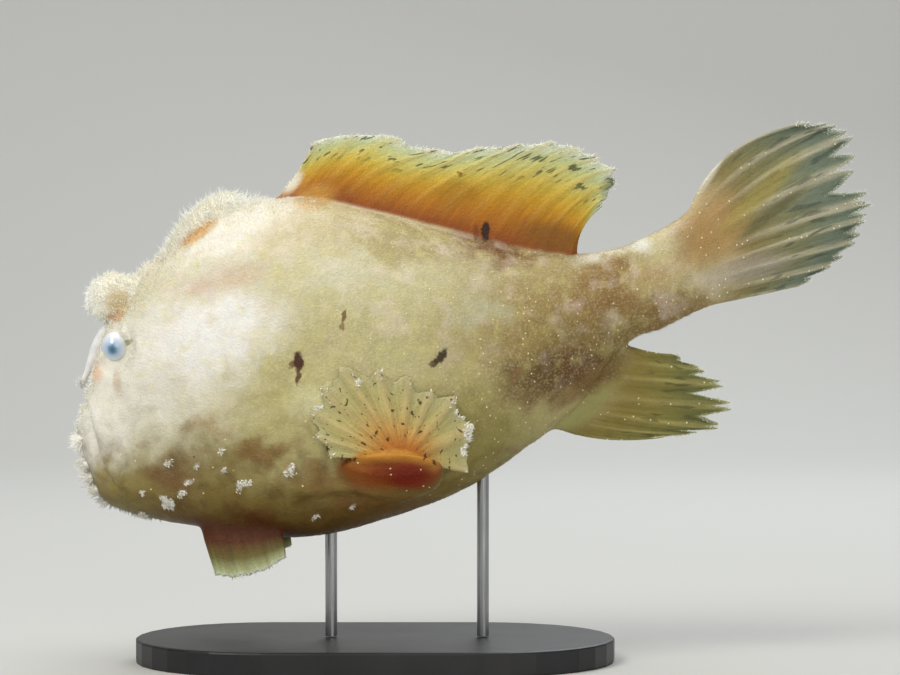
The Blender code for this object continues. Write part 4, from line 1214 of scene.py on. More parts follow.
# %% Coat maps
FLOW_FROM = {
    # kind: the x and z in mm that its tufts point away from
    "dorsal": (-70.0, -20.0), "caudal": (62.0, 16.0), "anal": (40.0, 0.0), "pectoral": (7.0, -30.0),
    "arm": (-20.0, -20.0), "pelvic": (-36.0, -20.0)}
FLAPS = (
    # x, z, radius of the clump in mm
    (-50.7, -37.4, 1.3), (-51.6, -35.6, 0.8), (-57.6, -40.7, 1.0), (-45.3, -31.7, 0.6),
    (-47.1, -34.3, 0.8), (-32.6, -32.0, 1.1), (-30.8, -31.6, 0.8), (-20.5, -29.2, 0.9),
    (-36.6, -28.8, 0.7), (-37.0, -24.0, 0.6), (-50.2, -26.5, 0.6), (-43.0, -27.3, 0.6),
    (-56.8, -34.4, 0.7), (-73.6, -22.3, 1.3),
    (-72.6, -28.6, 1.7), (-71.6, -31.6, 1.7), (-70.2, -35.0, 1.7), (-68.2, -38.6, 1.7),
    (-20.0, -27.0, 0.6), (-5.0, -37.5, 0.5), (-14.0, -40.5, 0.5))
FAN_FLAPS = (
    # x, z, half length and half height of the clump in mm
    (23.6, -19.5, 1.3, 2.2), (21.5, -14.2, 1.4, 1.6), (17.0, -9.0, 1.3, 1.3), (20.8, -32.0, 1.5, 1.2),
    (16.4, -4.4, 1.0, 1.0), (22.6, -24.0, 1.1, 1.4), (-13.0, -12.8, 1.0, 0.9), (-9.6, -29.0, 1.1, 0.6),
    (-3.5, -6.6, 0.8, 0.8), (25.0, -28.0, 0.7, 0.6))
FLAP_SHIFT_RIGHT = np.array((2.6, 1.8))
HEAD_ENDS_X = -42.0
FLANK_ENDS_X = 0.0


points, normals = skin_points()
x, y, z = points.T
reach = {kind: read_values(skin_mesh, kind).astype(float) for kind in FIN_KINDS}
ray = read_values(skin_mesh, "ray").astype(float)
flow = np.tile((1.0, 0.0, -0.25), (len(points), 1))
for kind, (from_x, from_z) in FLOW_FROM.items():
    away = unit(np.stack((x - from_x, np.zeros_like(x), z - from_z), axis=1))
    flow += (away - flow) * smooth_step(0.05, 0.2, reach[kind])[:, None]
flow = unit(flow - normals * (flow * normals).sum(axis=1, keepdims=True))

MEDIAN_AND_PELVIC = ("dorsal", "caudal", "anal", "pelvic")
on_any_fin = np.maximum.reduce([reach[kind] for kind in (*MEDIAN_AND_PELVIC, "pectoral")])
bare = np.ones(len(points))
for side in (-1, 1):
    centre = EYE_PLACE * (1, side, 1)
    bare *= smooth_step(LID_RADIUS + 0.9, LID_RADIUS + 1.6, np.linalg.norm(points - centre, axis=1))
belly = 1 - smooth_step(-44.0, -30.0, z)
crest = smooth_step(-5.0, 5.0, z) * (1 - smooth_step(0.3, 0.75, np.abs(normals[:, 1])))
clumps = np.clip(0.5 + 0.9 * noise_field(points, 1.3, 9.0), 0, 1)
length = 0.42 + 0.14 * smooth_step(-20, 10, z) + 0.35 * crest - 0.14 * belly
length *= 1 - 0.3 * (1 - smooth_step(-70.0, -56.0, x))
length = np.where(on_any_fin > 0.1, 0.28 + 0.3 * smooth_step(0.8, 1.0, on_any_fin), length)
prickles = bare * (1 - 0.75 * belly) * (1 - 0.6 * smooth_step(0.1, 0.3, on_any_fin))
prickles *= 1 - 0.85 * smooth_step(0.5, 0.8, reach["arm"])
fin_only = on_any_fin > 0.08

off_ray = np.abs(ray - np.round(ray))
rim = np.maximum.reduce([smooth_step(0.93, 0.97, reach[kind]) for kind in MEDIAN_AND_PELVIC])
chin = (1 - smooth_step(-58.0, -52.0, x)) * (1 - smooth_step(-30.0, -22.0, z))
chin *= 1 - smooth_step(4.0, 9.0, np.abs(y))
front = (1 - smooth_step(0.35, 0.8, np.abs(normals[:, 1]))) * (x < -14)
spiny = smooth_step(0.02, 0.12, reach["spine"])
fringe = np.maximum.reduce([spiny, 0.7 * front * (z > -20), rim, 0.6 * chin])
fringe *= bare
on_spines_mm = (1.7 + 1.1 * smooth_step(20.0, 28.0, z)) * spiny
fringe_mm = np.maximum.reduce([on_spines_mm, 0.95 * front, 1.05 * rim, 1.4 * chin])
fringe_mm *= 0.3 + 1.1 * clumps ** 1.3
tags = 0.1 * smooth_step(0.85, 0.97, reach["pectoral"]) * (off_ray < 0.16)
on_fan = (reach["pectoral"] > 0.3) | (reach["arm"] > 0.3)
for flap_x, flap_z, half_x, half_z in FAN_FLAPS:
    gap = np.hypot((x - flap_x) / half_x, (z - flap_z) / half_z)
    tags = np.maximum(tags, (gap < 1) * on_fan)
chin_flaps = (1 - smooth_step(-67.5, -63.0, x)) * (1 - smooth_step(-20.0, -16.0, z))
flow += (unit(np.array((-1.0, 0.0, -0.35))) - flow) * chin_flaps[:, None]
flow = unit(flow - normals * (flow * normals).sum(axis=1, keepdims=True))
for flap_x, flap_z, radius in FLAPS:
    for side in (-1, 1):
        shift = FLAP_SHIFT_RIGHT * (side > 0)
        gap = np.hypot(x - flap_x - shift[0], z - flap_z - shift[1])
        tags = np.maximum(tags, (gap < radius) * (np.sign(y) == side) * (on_any_fin < 0.3))
sparse = smooth_step(0.1, 0.5, noise_field(points, 5.0, 4.0))
specks = (0.1 + 0.4 * smooth_step(-10.0, 60.0, x)) * (0.3 + 0.7 * sparse)
fin_specks = 0.4 * (off_ray < 0.16) * (reach["caudal"] + reach["anal"] > 0.1)
specks = np.where(on_any_fin > 0.1, fin_specks, specks)
specks *= bare * (1 - 0.9 * belly)
on_body = prickles * ~fin_only
MAPS = {"prickles_head": on_body * (x < HEAD_ENDS_X),
        "prickles_flank": on_body * (x >= HEAD_ENDS_X) * (x < FLANK_ENDS_X),
        "prickles_rear": on_body * (x >= FLANK_ENDS_X), "prickles_fins": prickles * fin_only,
        "fringe": fringe, "skin_tags": tags, "warts": specks, "prickle_mm": length,
        "fringe_mm": fringe_mm, "wart_mm": np.ones(len(points)),
        "tag_mm": (0.6 + 0.7 * clumps) * (1 + 2.2 * chin_flaps)}
for name, values in MAPS.items():
    store_values(skin_mesh, name, values)
flow_layer = skin_mesh.attributes.new("flow", "FLOAT_VECTOR", "POINT")
flow_layer.data.foreach_set("vector", flow.astype(np.float32).ravel())
print("coat maps:", {name: round(float(values.mean()), 3) for name, values in MAPS.items()})

# %% [markdown]
# ## A tree of nodes that grows tufts
# Every kind of tuft comes from one node tree: points spread evenly over the skin, each with a thin
# three-sided cone that leans tailward, at a random size and with a little disorder. Its inputs
# are named, so that a velvety prickle and a long tag of skin differ only in their numbers. The
# instances are made real at the end.

# %% Coat tree
COAT_INPUTS = (
    ("Geometry", "Geometry"), ("Share", "String"), ("Length Map", "String"), ("Spacing", "Float"),
    ("Density", "Float"), ("Length", "Float"), ("Width", "Float"), ("Lean", "Float"), ("Ruffle", "Float"),
    ("Bend", "Float"), ("Sides", "Int"), ("Segments", "Int"), ("Seed", "Int"), ("Material", "Material"))


def coat_tree():
    """The node tree that grows tufts on a mesh, with the inputs named above."""
    tree = bpy.data.node_groups.new("coat_of_tufts", "GeometryNodeTree")
    for name, kind in COAT_INPUTS:
        tree.interface.new_socket(name, in_out="INPUT", socket_type="NodeSocket" + kind)
    tree.interface.new_socket("Geometry", in_out="OUTPUT", socket_type="NodeSocketGeometry")
    given = add(tree, "NodeGroupInput").outputs
    share, long, lie, sheet = [
        add(tree, "GeometryNodeInputNamedAttribute", {"Name": name}, data_type=kind).outputs["Attribute"]
        for name, kind in ((given["Share"], "FLOAT"), (given["Length Map"], "FLOAT"),
                           ("flow", "FLOAT_VECTOR"), ("OFBake", "FLOAT_VECTOR"))]
    roots = add(tree, "GeometryNodeDistributePointsOnFaces", {
        "Mesh": given["Geometry"], "Distance Min": given["Spacing"], "Density Max": given["Density"],
        "Density Factor": share, "Seed": given["Seed"]}, distribute_method="POISSON")
    placed = add(tree, "GeometryNodeStoreNamedAttribute", {
        "Geometry": roots.outputs["Points"], "Name": "root_uv", "Value": sheet}, data_type="FLOAT_VECTOR")
    placed = add(tree, "GeometryNodeRemoveAttribute", {"Geometry": placed.outputs[0], "Name": "OFBake"})

    cone = add(tree, "GeometryNodeMeshCone", {
        "Vertices": given["Sides"], "Side Segments": given["Segments"], "Radius Top": 0.0,
        "Radius Bottom": 0.5, "Depth": 1.0})
    spot = add(tree, "GeometryNodeInputPosition").outputs[0]
    own = add(tree, "GeometryNodeStoreNamedAttribute", {
        "Geometry": cone.outputs["Mesh"], "Name": "own_place", "Value": spot}, data_type="FLOAT_VECTOR")
    rise = add(tree, "ShaderNodeSeparateXYZ", {0: spot}).outputs["Z"]
    tip = add(tree, "GeometryNodeStoreNamedAttribute", {"Geometry": own.outputs[0], "Name": "tip",
                                                       "Value": rise}, data_type="FLOAT")
    square = add(tree, "ShaderNodeMath", {0: rise, 1: rise}, operation="MULTIPLY").outputs[0]
    sag = add(tree, "ShaderNodeMath", {0: square, 1: given["Bend"]}, operation="MULTIPLY").outputs[0]
    offset = add(tree, "ShaderNodeCombineXYZ", {"X": sag}).outputs[0]
    tuft = add(tree, "GeometryNodeSetPosition", {"Geometry": tip.outputs[0], "Offset": offset})

    wild = add(tree, "FunctionNodeRandomValue", {
        0: (-1.0, -1.0, -1.0), 1: (1.0, 1.0, 1.0), "Seed": given["Seed"]}, data_type="FLOAT_VECTOR")
    wild = add(tree, "ShaderNodeVectorMath", {0: wild.outputs[0], "Scale": given["Ruffle"]},
               operation="SCALE")
    lying = add(tree, "ShaderNodeVectorMath", {0: lie, "Scale": given["Lean"]}, operation="SCALE")
    up = add(tree, "ShaderNodeVectorMath", {0: lying.outputs[0], 1: roots.outputs["Normal"]},
             operation="ADD")
    up = add(tree, "ShaderNodeVectorMath", {0: up.outputs[0], 1: wild.outputs[0]},
             operation="ADD").outputs[0]
    turn = add(tree, "FunctionNodeAlignRotationToVector", {"Vector": up}, axis="Z").outputs[0]
    turn = add(tree, "FunctionNodeAlignRotationToVector", {"Rotation": turn, "Vector": lie}, axis="X",
               pivot_axis="Z").outputs[0]
    luck = add(tree, "FunctionNodeRandomValue", {2: 0.6, 3: 1.25, "Seed": given["Seed"]},
               data_type="FLOAT").outputs[1]
    high = add(tree, "ShaderNodeMath", {0: luck, 1: given["Length"]}, operation="MULTIPLY").outputs[0]
    high = add(tree, "ShaderNodeMath", {0: high, 1: long}, operation="MULTIPLY").outputs[0]
    size = add(tree, "ShaderNodeCombineXYZ", {"X": given["Width"], "Y": given["Width"],
                                              "Z": high}).outputs[0]
    grown = add(tree, "GeometryNodeInstanceOnPoints", {
        "Points": placed.outputs[0], "Instance": tuft.outputs[0], "Rotation": turn, "Scale": size})
    real = add(tree, "GeometryNodeRealizeInstances", {"Geometry": grown.outputs[0]})
    done = add(tree, "GeometryNodeSetMaterial", {"Geometry": real.outputs[0],
                                                 "Material": given["Material"]})
    add(tree, "NodeGroupOutput", {"Geometry": done.outputs[0]})
    return tree


tufts = coat_tree()
print("coat tree:", len(tufts.nodes), "nodes")

# %% [markdown]
# ## Coat finishes
# A prickle is a bit of clear bone in skin: its root has the colour of the skin under it, and its
# tip catches the light. The same markings paint it, and the attribute called tip, which the tree
# leaves on every cone, fades them to a paler colour.

# %% Coat materials
def tuft_finish(name, pale, root_share, tip_share):
    """The fish's markings, turned paler from a tuft's root to its tip."""
    made, tree, shader = new_finish(name)
    colour, place = markings(tree)
    tip = add(tree, "ShaderNodeAttribute", attribute_name="tip").outputs["Fac"]
    share = add(tree, "ShaderNodeMapRange", {"Value": tip, "To Min": root_share, "To Max": tip_share})
    uneven = add(tree, "ShaderNodeTexNoise", {"Vector": place, "Scale": 0.9, "Detail": 1.0})
    share = add(tree, "ShaderNodeMath", {0: share.outputs[0], 1: uneven.outputs["Fac"]},
                operation="MULTIPLY")
    colour = add(tree, "ShaderNodeMix", {0: share.outputs[0], 6: colour, 7: linear(pale)},
                 data_type="RGBA").outputs[2]
    fill(tree, shader, {"Base Color": colour, "Roughness": 0.6, "IOR": 1.4})
    return made


prickle_finish = tuft_finish("bony_skin_prickles", "#FDF9EA", 0.0, 1.0)
rear_prickle_finish = tuft_finish("golden_skin_prickles", "#F4EBC4", 0.0, 0.55)
fin_prickle_finish = tuft_finish("fin_prickles", "#FBF3DC", 0.0, 0.35)
fringe_finish = tuft_finish("pale_skin_fringe", "#FDFFFA", 0.7, 2.3)
tag_finish = tuft_finish("white_skin_tags", "#FCFBF4", 1.8, 2.0)
speck_finish = tuft_finish("straw_coloured_warts", "#F8EDBE", 1.2, 1.9)
print("coat finishes made")

# %% [markdown]
# ## Growing the coat
# Each row is one piece of the coat. After growing, every tuft is given its own small patch of the
# skin's UV sheet, at the place of its root, so that baked colours stay those of the skin there.

# %% Coat pieces
TUFT_PATCH = 0.003
SPACING_FILL = 0.9
FIRST_SEED = 11
COATS = (
    # name, length map, spacing mm, length, width mm, lean, ruffle, bend, sides, segments, finish
    ("prickles_head", "prickle_mm", 0.36, 1.0, 0.15, 1.3, 0.4, 0.3, 3, 1, prickle_finish),
    ("prickles_flank", "prickle_mm", 0.38, 1.0, 0.15, 1.5, 0.4, 0.3, 3, 1, rear_prickle_finish),
    ("prickles_rear", "prickle_mm", 0.38, 1.0, 0.15, 1.5, 0.4, 0.3, 3, 1, rear_prickle_finish),
    ("prickles_fins", "prickle_mm", 0.42, 1.0, 0.12, 1.6, 0.4, 0.3, 3, 1, fin_prickle_finish),
    ("fringe", "fringe_mm", 0.38, 1.0, 0.3, 0.3, 0.7, 0.4, 3, 2, fringe_finish),
    ("skin_tags", "tag_mm", 0.22, 0.9, 0.5, 0.6, 0.9, 0.4, 3, 2, tag_finish),
    ("warts", "wart_mm", 1.3, 0.26, 0.58, 0.3, 0.2, 0.0, 6, 2, speck_finish),
)


def grow(number, row):
    """One piece of the coat, grown where the map of its name says and turned into a plain mesh."""
    name, length_map, spacing, long, wide, lean, ruffle, bend, sides, segments, finish = row
    values = {"Share": name, "Length Map": length_map, "Spacing": spacing * MM,
              "Density": SPACING_FILL / (spacing * MM) ** 2, "Length": long * MM, "Width": wide * MM,
              "Lean": lean, "Ruffle": ruffle, "Bend": bend, "Sides": sides, "Segments": segments,
              "Seed": FIRST_SEED + number, "Material": finish}
    host = put_in_scene("host", skin_mesh)
    step = host.modifiers.new("coat", "NODES")
    step.node_group = tufts
    for item in tufts.interface.items_tree:
        if item.in_out == "INPUT" and item.name in values:
            step[item.identifier] = values[item.name]
    graph = bpy.context.evaluated_depsgraph_get()
    mesh = bpy.data.meshes.new_from_object(host.evaluated_get(graph), preserve_all_data_layers=True,
                                           depsgraph=graph)
    bpy.data.objects.remove(host)
    root = read_values(mesh, "root_uv", 3)[:, :2]
    own = read_values(mesh, "own_place", 3)[:, :2]
    while mesh.uv_layers:
        mesh.uv_layers.remove(mesh.uv_layers[0])
    tuft_patches = (root + own * TUFT_PATCH)[corner_points(mesh)]
    mesh.uv_layers.new(name="OFBake").uv.foreach_set("vector", tuft_patches.astype(np.float32).ravel())
    for layer in [layer.name for layer in mesh.attributes]:
        if layer in MAPS or layer in ("root_uv", "own_place", "flow"):
            mesh.attributes.remove(mesh.attributes[layer])
    mesh.name = name
    print(name, "triangles:", triangle_count(mesh))
    return put_in_scene(name, mesh)


coat = [grow(number, row) for number, row in enumerate(COATS)]

# %% [markdown]
# ## Eyes
# Each eye is a milky, blue-white globe with a small blue-grey pupil, turned almost straight out
# to the side. It is one ball, a little taller than wide, whose iris and pupil are painted as rings
# around its own axis, under a wet clear layer. It sits in the cup that the lids leave open.

# %% Eyes
EYE_ROWS = 40
EYE_AROUND = 64
CORNEA_BULGE = 0.25
PUPIL_OFF = (-0.2, -0.5)
EYE_RINGS = ((0.0, "#33607E"), (0.14, "#3E6F8F"), (0.26, "#6C96B4"), (0.38, "#A9C2DC"), (0.56, "#C6D4EA"),
             (0.8, "#DFE7F2"), (1.0, "#EDEFF0"))


def wet_eye():
    """A milky globe with a pale blue iris, a blue-grey pupil and a wet surface."""
    made, tree, shader = new_finish("wet_milky_eye")
    off = add(tree, "ShaderNodeAttribute", attribute_name="off_axis").outputs["Fac"]
    here = add(tree, "ShaderNodeTexCoord").outputs["Object"]
    cloud = add(tree, "ShaderNodeTexNoise", {"Vector": here, "Scale": 900.0, "Detail": 3.0})
    wavy = add(tree, "ShaderNodeMath", {0: cloud.outputs["Fac"], 1: 0.6, 2: off},
               operation="MULTIPLY_ADD")
    wavy = add(tree, "ShaderNodeMapRange", {"Value": wavy.outputs[0], "From Min": 0.3,
                                            "From Max": EYE_RADIUS + 0.6}).outputs[0]
    rings = add(tree, "ShaderNodeValToRGB", {"Fac": wavy}, EYE_RINGS).outputs["Color"]
    fill(tree, shader, {"Base Color": rings, "Roughness": 0.2, "Subsurface Weight": 0.3,
                        "Subsurface Radius": (0.6, 0.7, 1.0), "Subsurface Scale": 0.8 * MM,
                        "Coat Weight": 1.0, "Coat Roughness": 0.04})
    return made


def eyeball(name, side):
    """A ball of rings around the eye's axis, with the cornea's bulge and distances from the pupil."""
    axis = unit(EYE_AXIS) * (1, side, 1)
    along = unit(np.cross(axis, (0.0, 0.0, 1.0)))
    up = np.cross(along, axis)
    tilt = np.linspace(0, math.pi, EYE_ROWS + 1)[1:-1, None]
    turn = np.linspace(0, 2 * math.pi, EYE_AROUND, endpoint=False)[None, :]
    radius = EYE_RADIUS + CORNEA_BULGE * (1 - smooth_step(0.0, 0.75, tilt))
    local = np.stack((radius * np.sin(tilt) * np.cos(turn), radius * np.sin(tilt) * np.sin(turn),
                      radius * np.cos(tilt) + 0 * turn), axis=-1).reshape(-1, 3)
    local = np.vstack((local, (0, 0, EYE_RADIUS + CORNEA_BULGE), (0, 0, -EYE_RADIUS)))
    points = EYE_PLACE * (1, side, 1) + local @ np.array((along, up, axis))
    points[:, 2] = EYE_PLACE[2] + (points[:, 2] - EYE_PLACE[2]) * EYE_STRETCH
    around = np.arange(EYE_AROUND)
    after = (around + 1) % EYE_AROUND
    faces = [(r * EYE_AROUND + a, (r + 1) * EYE_AROUND + a, (r + 1) * EYE_AROUND + b, r * EYE_AROUND + b)
             for r in range(EYE_ROWS - 2) for a, b in zip(around, after)]
    last = (EYE_ROWS - 2) * EYE_AROUND
    faces += [(len(local) - 2, a, b) for a, b in zip(around, after)]
    faces += [(len(local) - 1, last + b, last + a) for a, b in zip(around, after)]
    mesh = bpy.data.meshes.new(name)
    mesh.from_pydata(to_world(points).tolist(), [], [tuple(int(k) for k in face) for face in faces])
    pupil = EYE_PLACE * (1, side, 1) + axis * EYE_RADIUS + (PUPIL_OFF[0], 0.0, PUPIL_OFF[1])
    off = np.linalg.norm((points - pupil) * (1, 0.7, 1), axis=1)
    store_values(mesh, "off_axis", off)
    work = bmesh.new()
    work.from_mesh(mesh)
    bmesh.ops.recalc_face_normals(work, faces=work.faces)
    work.to_mesh(mesh)
    work.free()
    mesh.shade_smooth()
    return put_in_scene(name, mesh)


eye_finish = wet_eye()
eyes = {"eye_left": eyeball("eyeball_left", -1), "eye_right": eyeball("eyeball_right", 1)}
for ball in eyes.values():
    ball.data.materials.append(eye_finish)
print("eyes:", [len(ball.data.polygons) for ball in eyes.values()], "faces each")

# %% [markdown]
# ## Lure
# The first spine is a fishing rod: a thin flexible stalk over the mouth with a fluffy bait. The
# stalk is a tube of changing width along the same route as in the construction, and the bait is
# a ball of short white filaments.

# %% Lure
LURE_PATH = ((-66.2, 6.4, 2.8), (-67.8, 3.9, 3.3), (-69.3, 0.8, 3.3), (-70.6, -2.6, 2.8),
             (-71.8, -5.4, 1.8), (-72.8, -7.4, 1.4), (-73.3, -8.6, 1.7), (-73.7, -9.7, 0.9))
LURE_RADIUS = 0.5
BAIT_PLACE = np.array((-73.3, 0.0, -8.3))
BAIT_RADIUS = 0.9
BAIT_FILAMENTS = 420
STALK_FILAMENTS = 260
FILAMENT_MM = 1.0
FILAMENT_THICK = ((0.0, 0.13), (0.55, 0.09))
LURE_RINGS = 50
LURE_AROUND = 16
LURE_TINTS = ((0.3, "#E4E8EE"), (0.55, "#F3F3F2"), (0.75, "#F8F5EC"))


def lure_finish():
    """Translucent bluish-white skin, the colour of the bait and its stalk."""
    made, tree, shader = new_finish("milk_white_lure")
    here = add(tree, "ShaderNodeTexCoord").outputs["Object"]
    cloud = add(tree, "ShaderNodeTexNoise", {"Vector": here, "Scale": 500.0, "Detail": 3.0})
    tint = add(tree, "ShaderNodeValToRGB", {"Fac": cloud.outputs["Fac"]}, LURE_TINTS).outputs["Color"]
    fill(tree, shader, {"Base Color": tint, "Roughness": 0.5, "Subsurface Weight": 0.3,
                        "Subsurface Radius": (0.8, 0.8, 0.9), "Subsurface Scale": 0.6 * MM})
    return made


def lure():
    """The stalk as a tube, with thin curved filaments all over its bait and a few down its length."""
    random = np.random.default_rng(21)
    knots = curve_through(LURE_PATH, np.linspace(0, len(LURE_PATH) - 1, LURE_RINGS))
    centre = in_plane(knots[:, :2])
    along = unit(np.gradient(centre, axis=0))
    across = np.array((0.0, 1.0, 0.0))
    upright = np.cross(along, across)
    turns = np.linspace(0, 2 * math.pi, LURE_AROUND, endpoint=False)
    width = knots[:, 2] * LURE_RADIUS
    rings = centre[:, None] + width[:, None, None] * (np.cos(turns)[None, :, None] * across
                                                     + np.sin(turns)[None, :, None] * upright[:, None])
    points = [*rings.reshape(-1, 3), centre[0], centre[-1]]
    beside = [(k, (k + 1) % LURE_AROUND) for k in range(LURE_AROUND)]
    first_points = range(0, LURE_AROUND * (LURE_RINGS - 1), LURE_AROUND)
    faces = [(r + a, r + b, r + LURE_AROUND + b, r + LURE_AROUND + a)
             for r in first_points for a, b in beside]
    last = LURE_AROUND * (LURE_RINGS - 1)
    faces += [(b, a, len(points) - 2) for a, b in beside]
    faces += [(last + a, last + b, len(points) - 1) for a, b in beside]
    ways = unit(random.normal(size=(BAIT_FILAMENTS + STALK_FILAMENTS, 3)))
    roots = BAIT_PLACE + ways * BAIT_RADIUS * 0.5
    chosen = random.integers(4, 40, STALK_FILAMENTS)
    roots[BAIT_FILAMENTS:] = centre[chosen]
    longs = FILAMENT_MM * random.uniform(0.5, 1.3, len(ways))
    longs[BAIT_FILAMENTS:] *= 0.75
    for root, way, long in zip(roots, ways, longs):
        bend = random.normal(size=3) * 0.35
        side_way = unit(np.cross(way, bend))
        other = np.cross(way, side_way)
        base = len(points)
        for share, thick in FILAMENT_THICK:
            spot = root + way * long * share + bend * share ** 2
            for turn in (0.0, 2.09, 4.19):
                points.append(spot + thick * (math.cos(turn) * side_way + math.sin(turn) * other))
        points.append(root + way * long + bend)
        faces += [(base + k, base + (k + 1) % 3, base + 3 + (k + 1) % 3, base + 3 + k) for k in range(3)]
        faces += [(base + 3 + k, base + 3 + (k + 1) % 3, base + 6) for k in range(3)]
        faces.append((base + 2, base + 1, base))
    mesh = bpy.data.meshes.new("lure")
    mesh.from_pydata(to_world(points).tolist(), [], faces)
    mesh.materials.append(lure_finish())
    return put_in_scene("lure", mesh)


bait = lure()
print("lure:", len(bait.data.polygons), "faces")

# %% [markdown]
# ## The stand
# The construction's base and rods stay as they are, and only get their finish: satin black
# lacquer with a faint orange-peel, and steel rods brushed lengthwise.

# %% Stand materials
LACQUER_PEEL_MM = 0.8
BRUSH_MM = 0.25
BRUSH_STRETCH = 0.02


def satin_black_lacquer():
    """Sprayed satin lacquer: near black, with tiny changes of gloss and a fine orange-peel."""
    made, tree, shader = new_finish("satin_black_lacquer")
    here = add(tree, "ShaderNodeTexCoord").outputs["Object"]
    peel = add(tree, "ShaderNodeTexNoise", {"Vector": here, "Scale": 1 / (LACQUER_PEEL_MM * MM),
                                            "Detail": 2.0})
    wear = add(tree, "ShaderNodeTexNoise", {"Vector": here, "Scale": 60.0, "Detail": 4.0})
    tint = add(tree, "ShaderNodeValToRGB", {"Fac": wear.outputs["Fac"]},
               ((0.35, "#17171A"), (0.65, "#222225"))).outputs["Color"]
    gloss = add(tree, "ShaderNodeMapRange", {"Value": wear.outputs["Fac"], "To Min": 0.34, "To Max": 0.5})
    bump = add(tree, "ShaderNodeBump", {"Height": peel.outputs["Fac"], "Strength": 0.15,
                                        "Distance": 0.05 * MM})
    fill(tree, shader, {"Base Color": tint, "Roughness": gloss.outputs[0], "Normal": bump.outputs[0]})
    return made


def brushed_steel():
    """Stainless steel brushed along the rod, so the fine scratches run up and down."""
    made, tree, shader = new_finish("brushed_steel")
    here = add(tree, "ShaderNodeTexCoord").outputs["Object"]
    fine = 1 / (BRUSH_MM * MM)
    lines = add(tree, "ShaderNodeVectorMath", {0: here, 1: (fine, fine, fine * BRUSH_STRETCH)},
                operation="MULTIPLY")
    brush = add(tree, "ShaderNodeTexNoise", {"Vector": lines.outputs[0], "Scale": 1.0, "Detail": 3.0})
    tint = add(tree, "ShaderNodeValToRGB", {"Fac": brush.outputs["Fac"]},
               ((0.3, "#8E9092"), (0.7, "#B9BBBD"))).outputs["Color"]
    gloss = add(tree, "ShaderNodeMapRange", {"Value": brush.outputs["Fac"], "To Min": 0.22,
                                             "To Max": 0.42})
    bump = add(tree, "ShaderNodeBump", {"Height": brush.outputs["Fac"], "Strength": 0.2,
                                        "Distance": 0.02 * MM})
    fill(tree, shader, {"Base Color": tint, "Roughness": gloss.outputs[0], "Normal": bump.outputs[0],
                        "Metallic": 1.0})
    return made


for finish, names in ((satin_black_lacquer(), ("stand_base",)),
                      (brushed_steel(), ("stand_rod_front", "stand_rod_rear"))):
    for name in names:
        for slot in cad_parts[name].material_slots:
            slot.material = finish
print("stand finished")

# %% [markdown]
# ## Camera, light and the pale studio
# The camera looks level along +Y from nearly a metre away, as the photographer did, and frames
# 225 mm at the fish. One large soft light stands above and in front of the head, where the
# brightest skin is, and a weak one fills the belly. Floor and backdrop are one curved sheet.

# %% Studio
VIEW_WIDTH = 225.0
VIEW_CENTRE = (18.75, 0.0, 81.1)
VIEW_DISTANCE = 900.0
VIEW_HEIGHT_DEG = 2.0
scene = bpy.context.scene
scene.view_settings.view_transform = "Standard"


def aimed(name, data, place, target):
    """An object at a place in mm that looks at a target."""
    made = put_in_scene(name, data)
    made.location = Vector(place) * MM
    made.rotation_euler = (Vector(target) - Vector(place)).to_track_quat("-Z", "Y").to_euler()
    return made


def soft_light(name, place, size, power, colour):
    """A square area light of a size in mm that points at the fish."""
    data = bpy.data.lights.new(name, "AREA")
    data.size = size * MM
    data.energy = power
    data.color = linear(colour)[:3]
    return aimed(name, data, place, VIEW_CENTRE)


camera_data = bpy.data.cameras.new("camera")
camera_data.lens = camera_data.sensor_width * VIEW_DISTANCE / VIEW_WIDTH
camera_data.clip_end = 20.0
lift = math.radians(VIEW_HEIGHT_DEG)
camera_place = (VIEW_CENTRE[0], -VIEW_DISTANCE * math.cos(lift),
                VIEW_CENTRE[2] + VIEW_DISTANCE * math.sin(lift))
scene.camera = aimed("camera", camera_data, camera_place, VIEW_CENTRE)
soft_light("key", (-420.0, -520.0, 760.0), 420.0, 5.0, "#FFFCF4")
soft_light("fill", (300.0, -760.0, 120.0), 700.0, 2.0, "#FFF8EE")
soft_light("rim", (250.0, 620.0, 620.0), 500.0, 2.5, "#F4F8FF")
backdrop_data = bpy.data.lights.new("backdrop", "AREA")
backdrop_data.size = 1.4
backdrop_data.energy = 9.0
aimed("backdrop", backdrop_data, (0.0, 250.0, 1300.0), (0.0, 1000.0, 100.0))

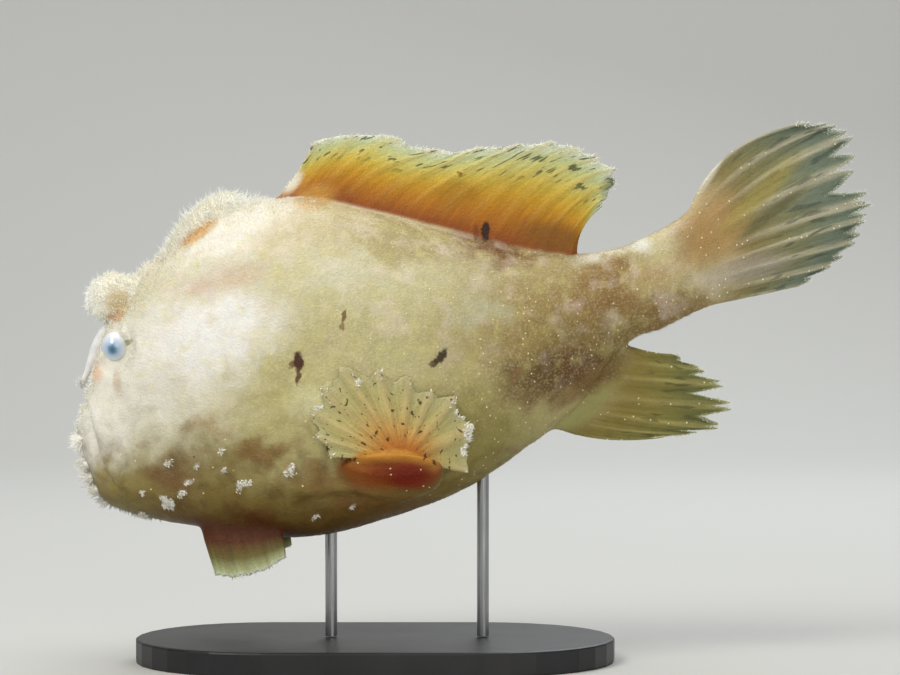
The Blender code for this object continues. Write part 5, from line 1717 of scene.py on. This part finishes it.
world = bpy.data.worlds.new("studio")
world.use_nodes = True
world.node_tree.nodes["Background"].inputs["Color"].default_value = linear("#DDE2E6")
world.node_tree.nodes["Background"].inputs["Strength"].default_value = 0.3
scene.world = world
print("lens", round(camera_data.lens, 1), "mm")

# %% [markdown]
# ## Sweep
# A photographer's paper sweep: a flat floor that curves up into a backdrop with no visible edge.

# %% Sweep of paper
SWEEP_HALF_WIDTH = 1600.0
SWEEP_FRONT = -1500.0
SWEEP_BACK = 700.0
SWEEP_CURVE = 400.0
SWEEP_TOP = 1500.0


def paper_sweep():
    """Floor, curve and backdrop as one smooth sheet."""
    turns = np.linspace(0, math.pi / 2, 13)
    profile = [(SWEEP_FRONT, 0.0)] + [(SWEEP_BACK + SWEEP_CURVE * math.sin(turn),
                                       SWEEP_CURVE * (1 - math.cos(turn))) for turn in turns]
    profile.append((SWEEP_BACK + SWEEP_CURVE, SWEEP_TOP))
    points = [(x * MM, y * MM, z * MM) for y, z in profile for x in (-SWEEP_HALF_WIDTH, SWEEP_HALF_WIDTH)]
    faces = [(2 * k, 2 * k + 1, 2 * k + 3, 2 * k + 2) for k in range(len(profile) - 1)]
    mesh = bpy.data.meshes.new("sweep")
    mesh.from_pydata(points, [], faces)
    mesh.shade_smooth()
    paper, tree, shader = new_finish("matt_paper")
    fill(tree, shader, {"Base Color": linear("#C9C9C5"), "Roughness": 0.9})
    mesh.materials.append(paper)
    return put_in_scene("sweep", mesh)


paper_sweep()

# %% Hiding the construction's flesh and attaching the new pieces
FLESH_NODES = ("head", "lower_jaw", "trunk", "tail_stalk", "dorsal_fin", "anal_fin", "caudal_fin",
               "dorsal_spine_second", "dorsal_spine_third", "pectoral_arm_left", "pectoral_arm_right",
               "pectoral_fan_left", "pectoral_fan_right", "pelvic_fin_left", "pelvic_fin_right")
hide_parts(*FLESH_NODES)
for node, ball in eyes.items():
    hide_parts(node)
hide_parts("illicium")
for piece, slot in ((skin, "skin"), (bait, "skin"), *((piece, "skin") for piece in coat),
                    *((ball, "eye") for ball in eyes.values())):
    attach(piece, "root")
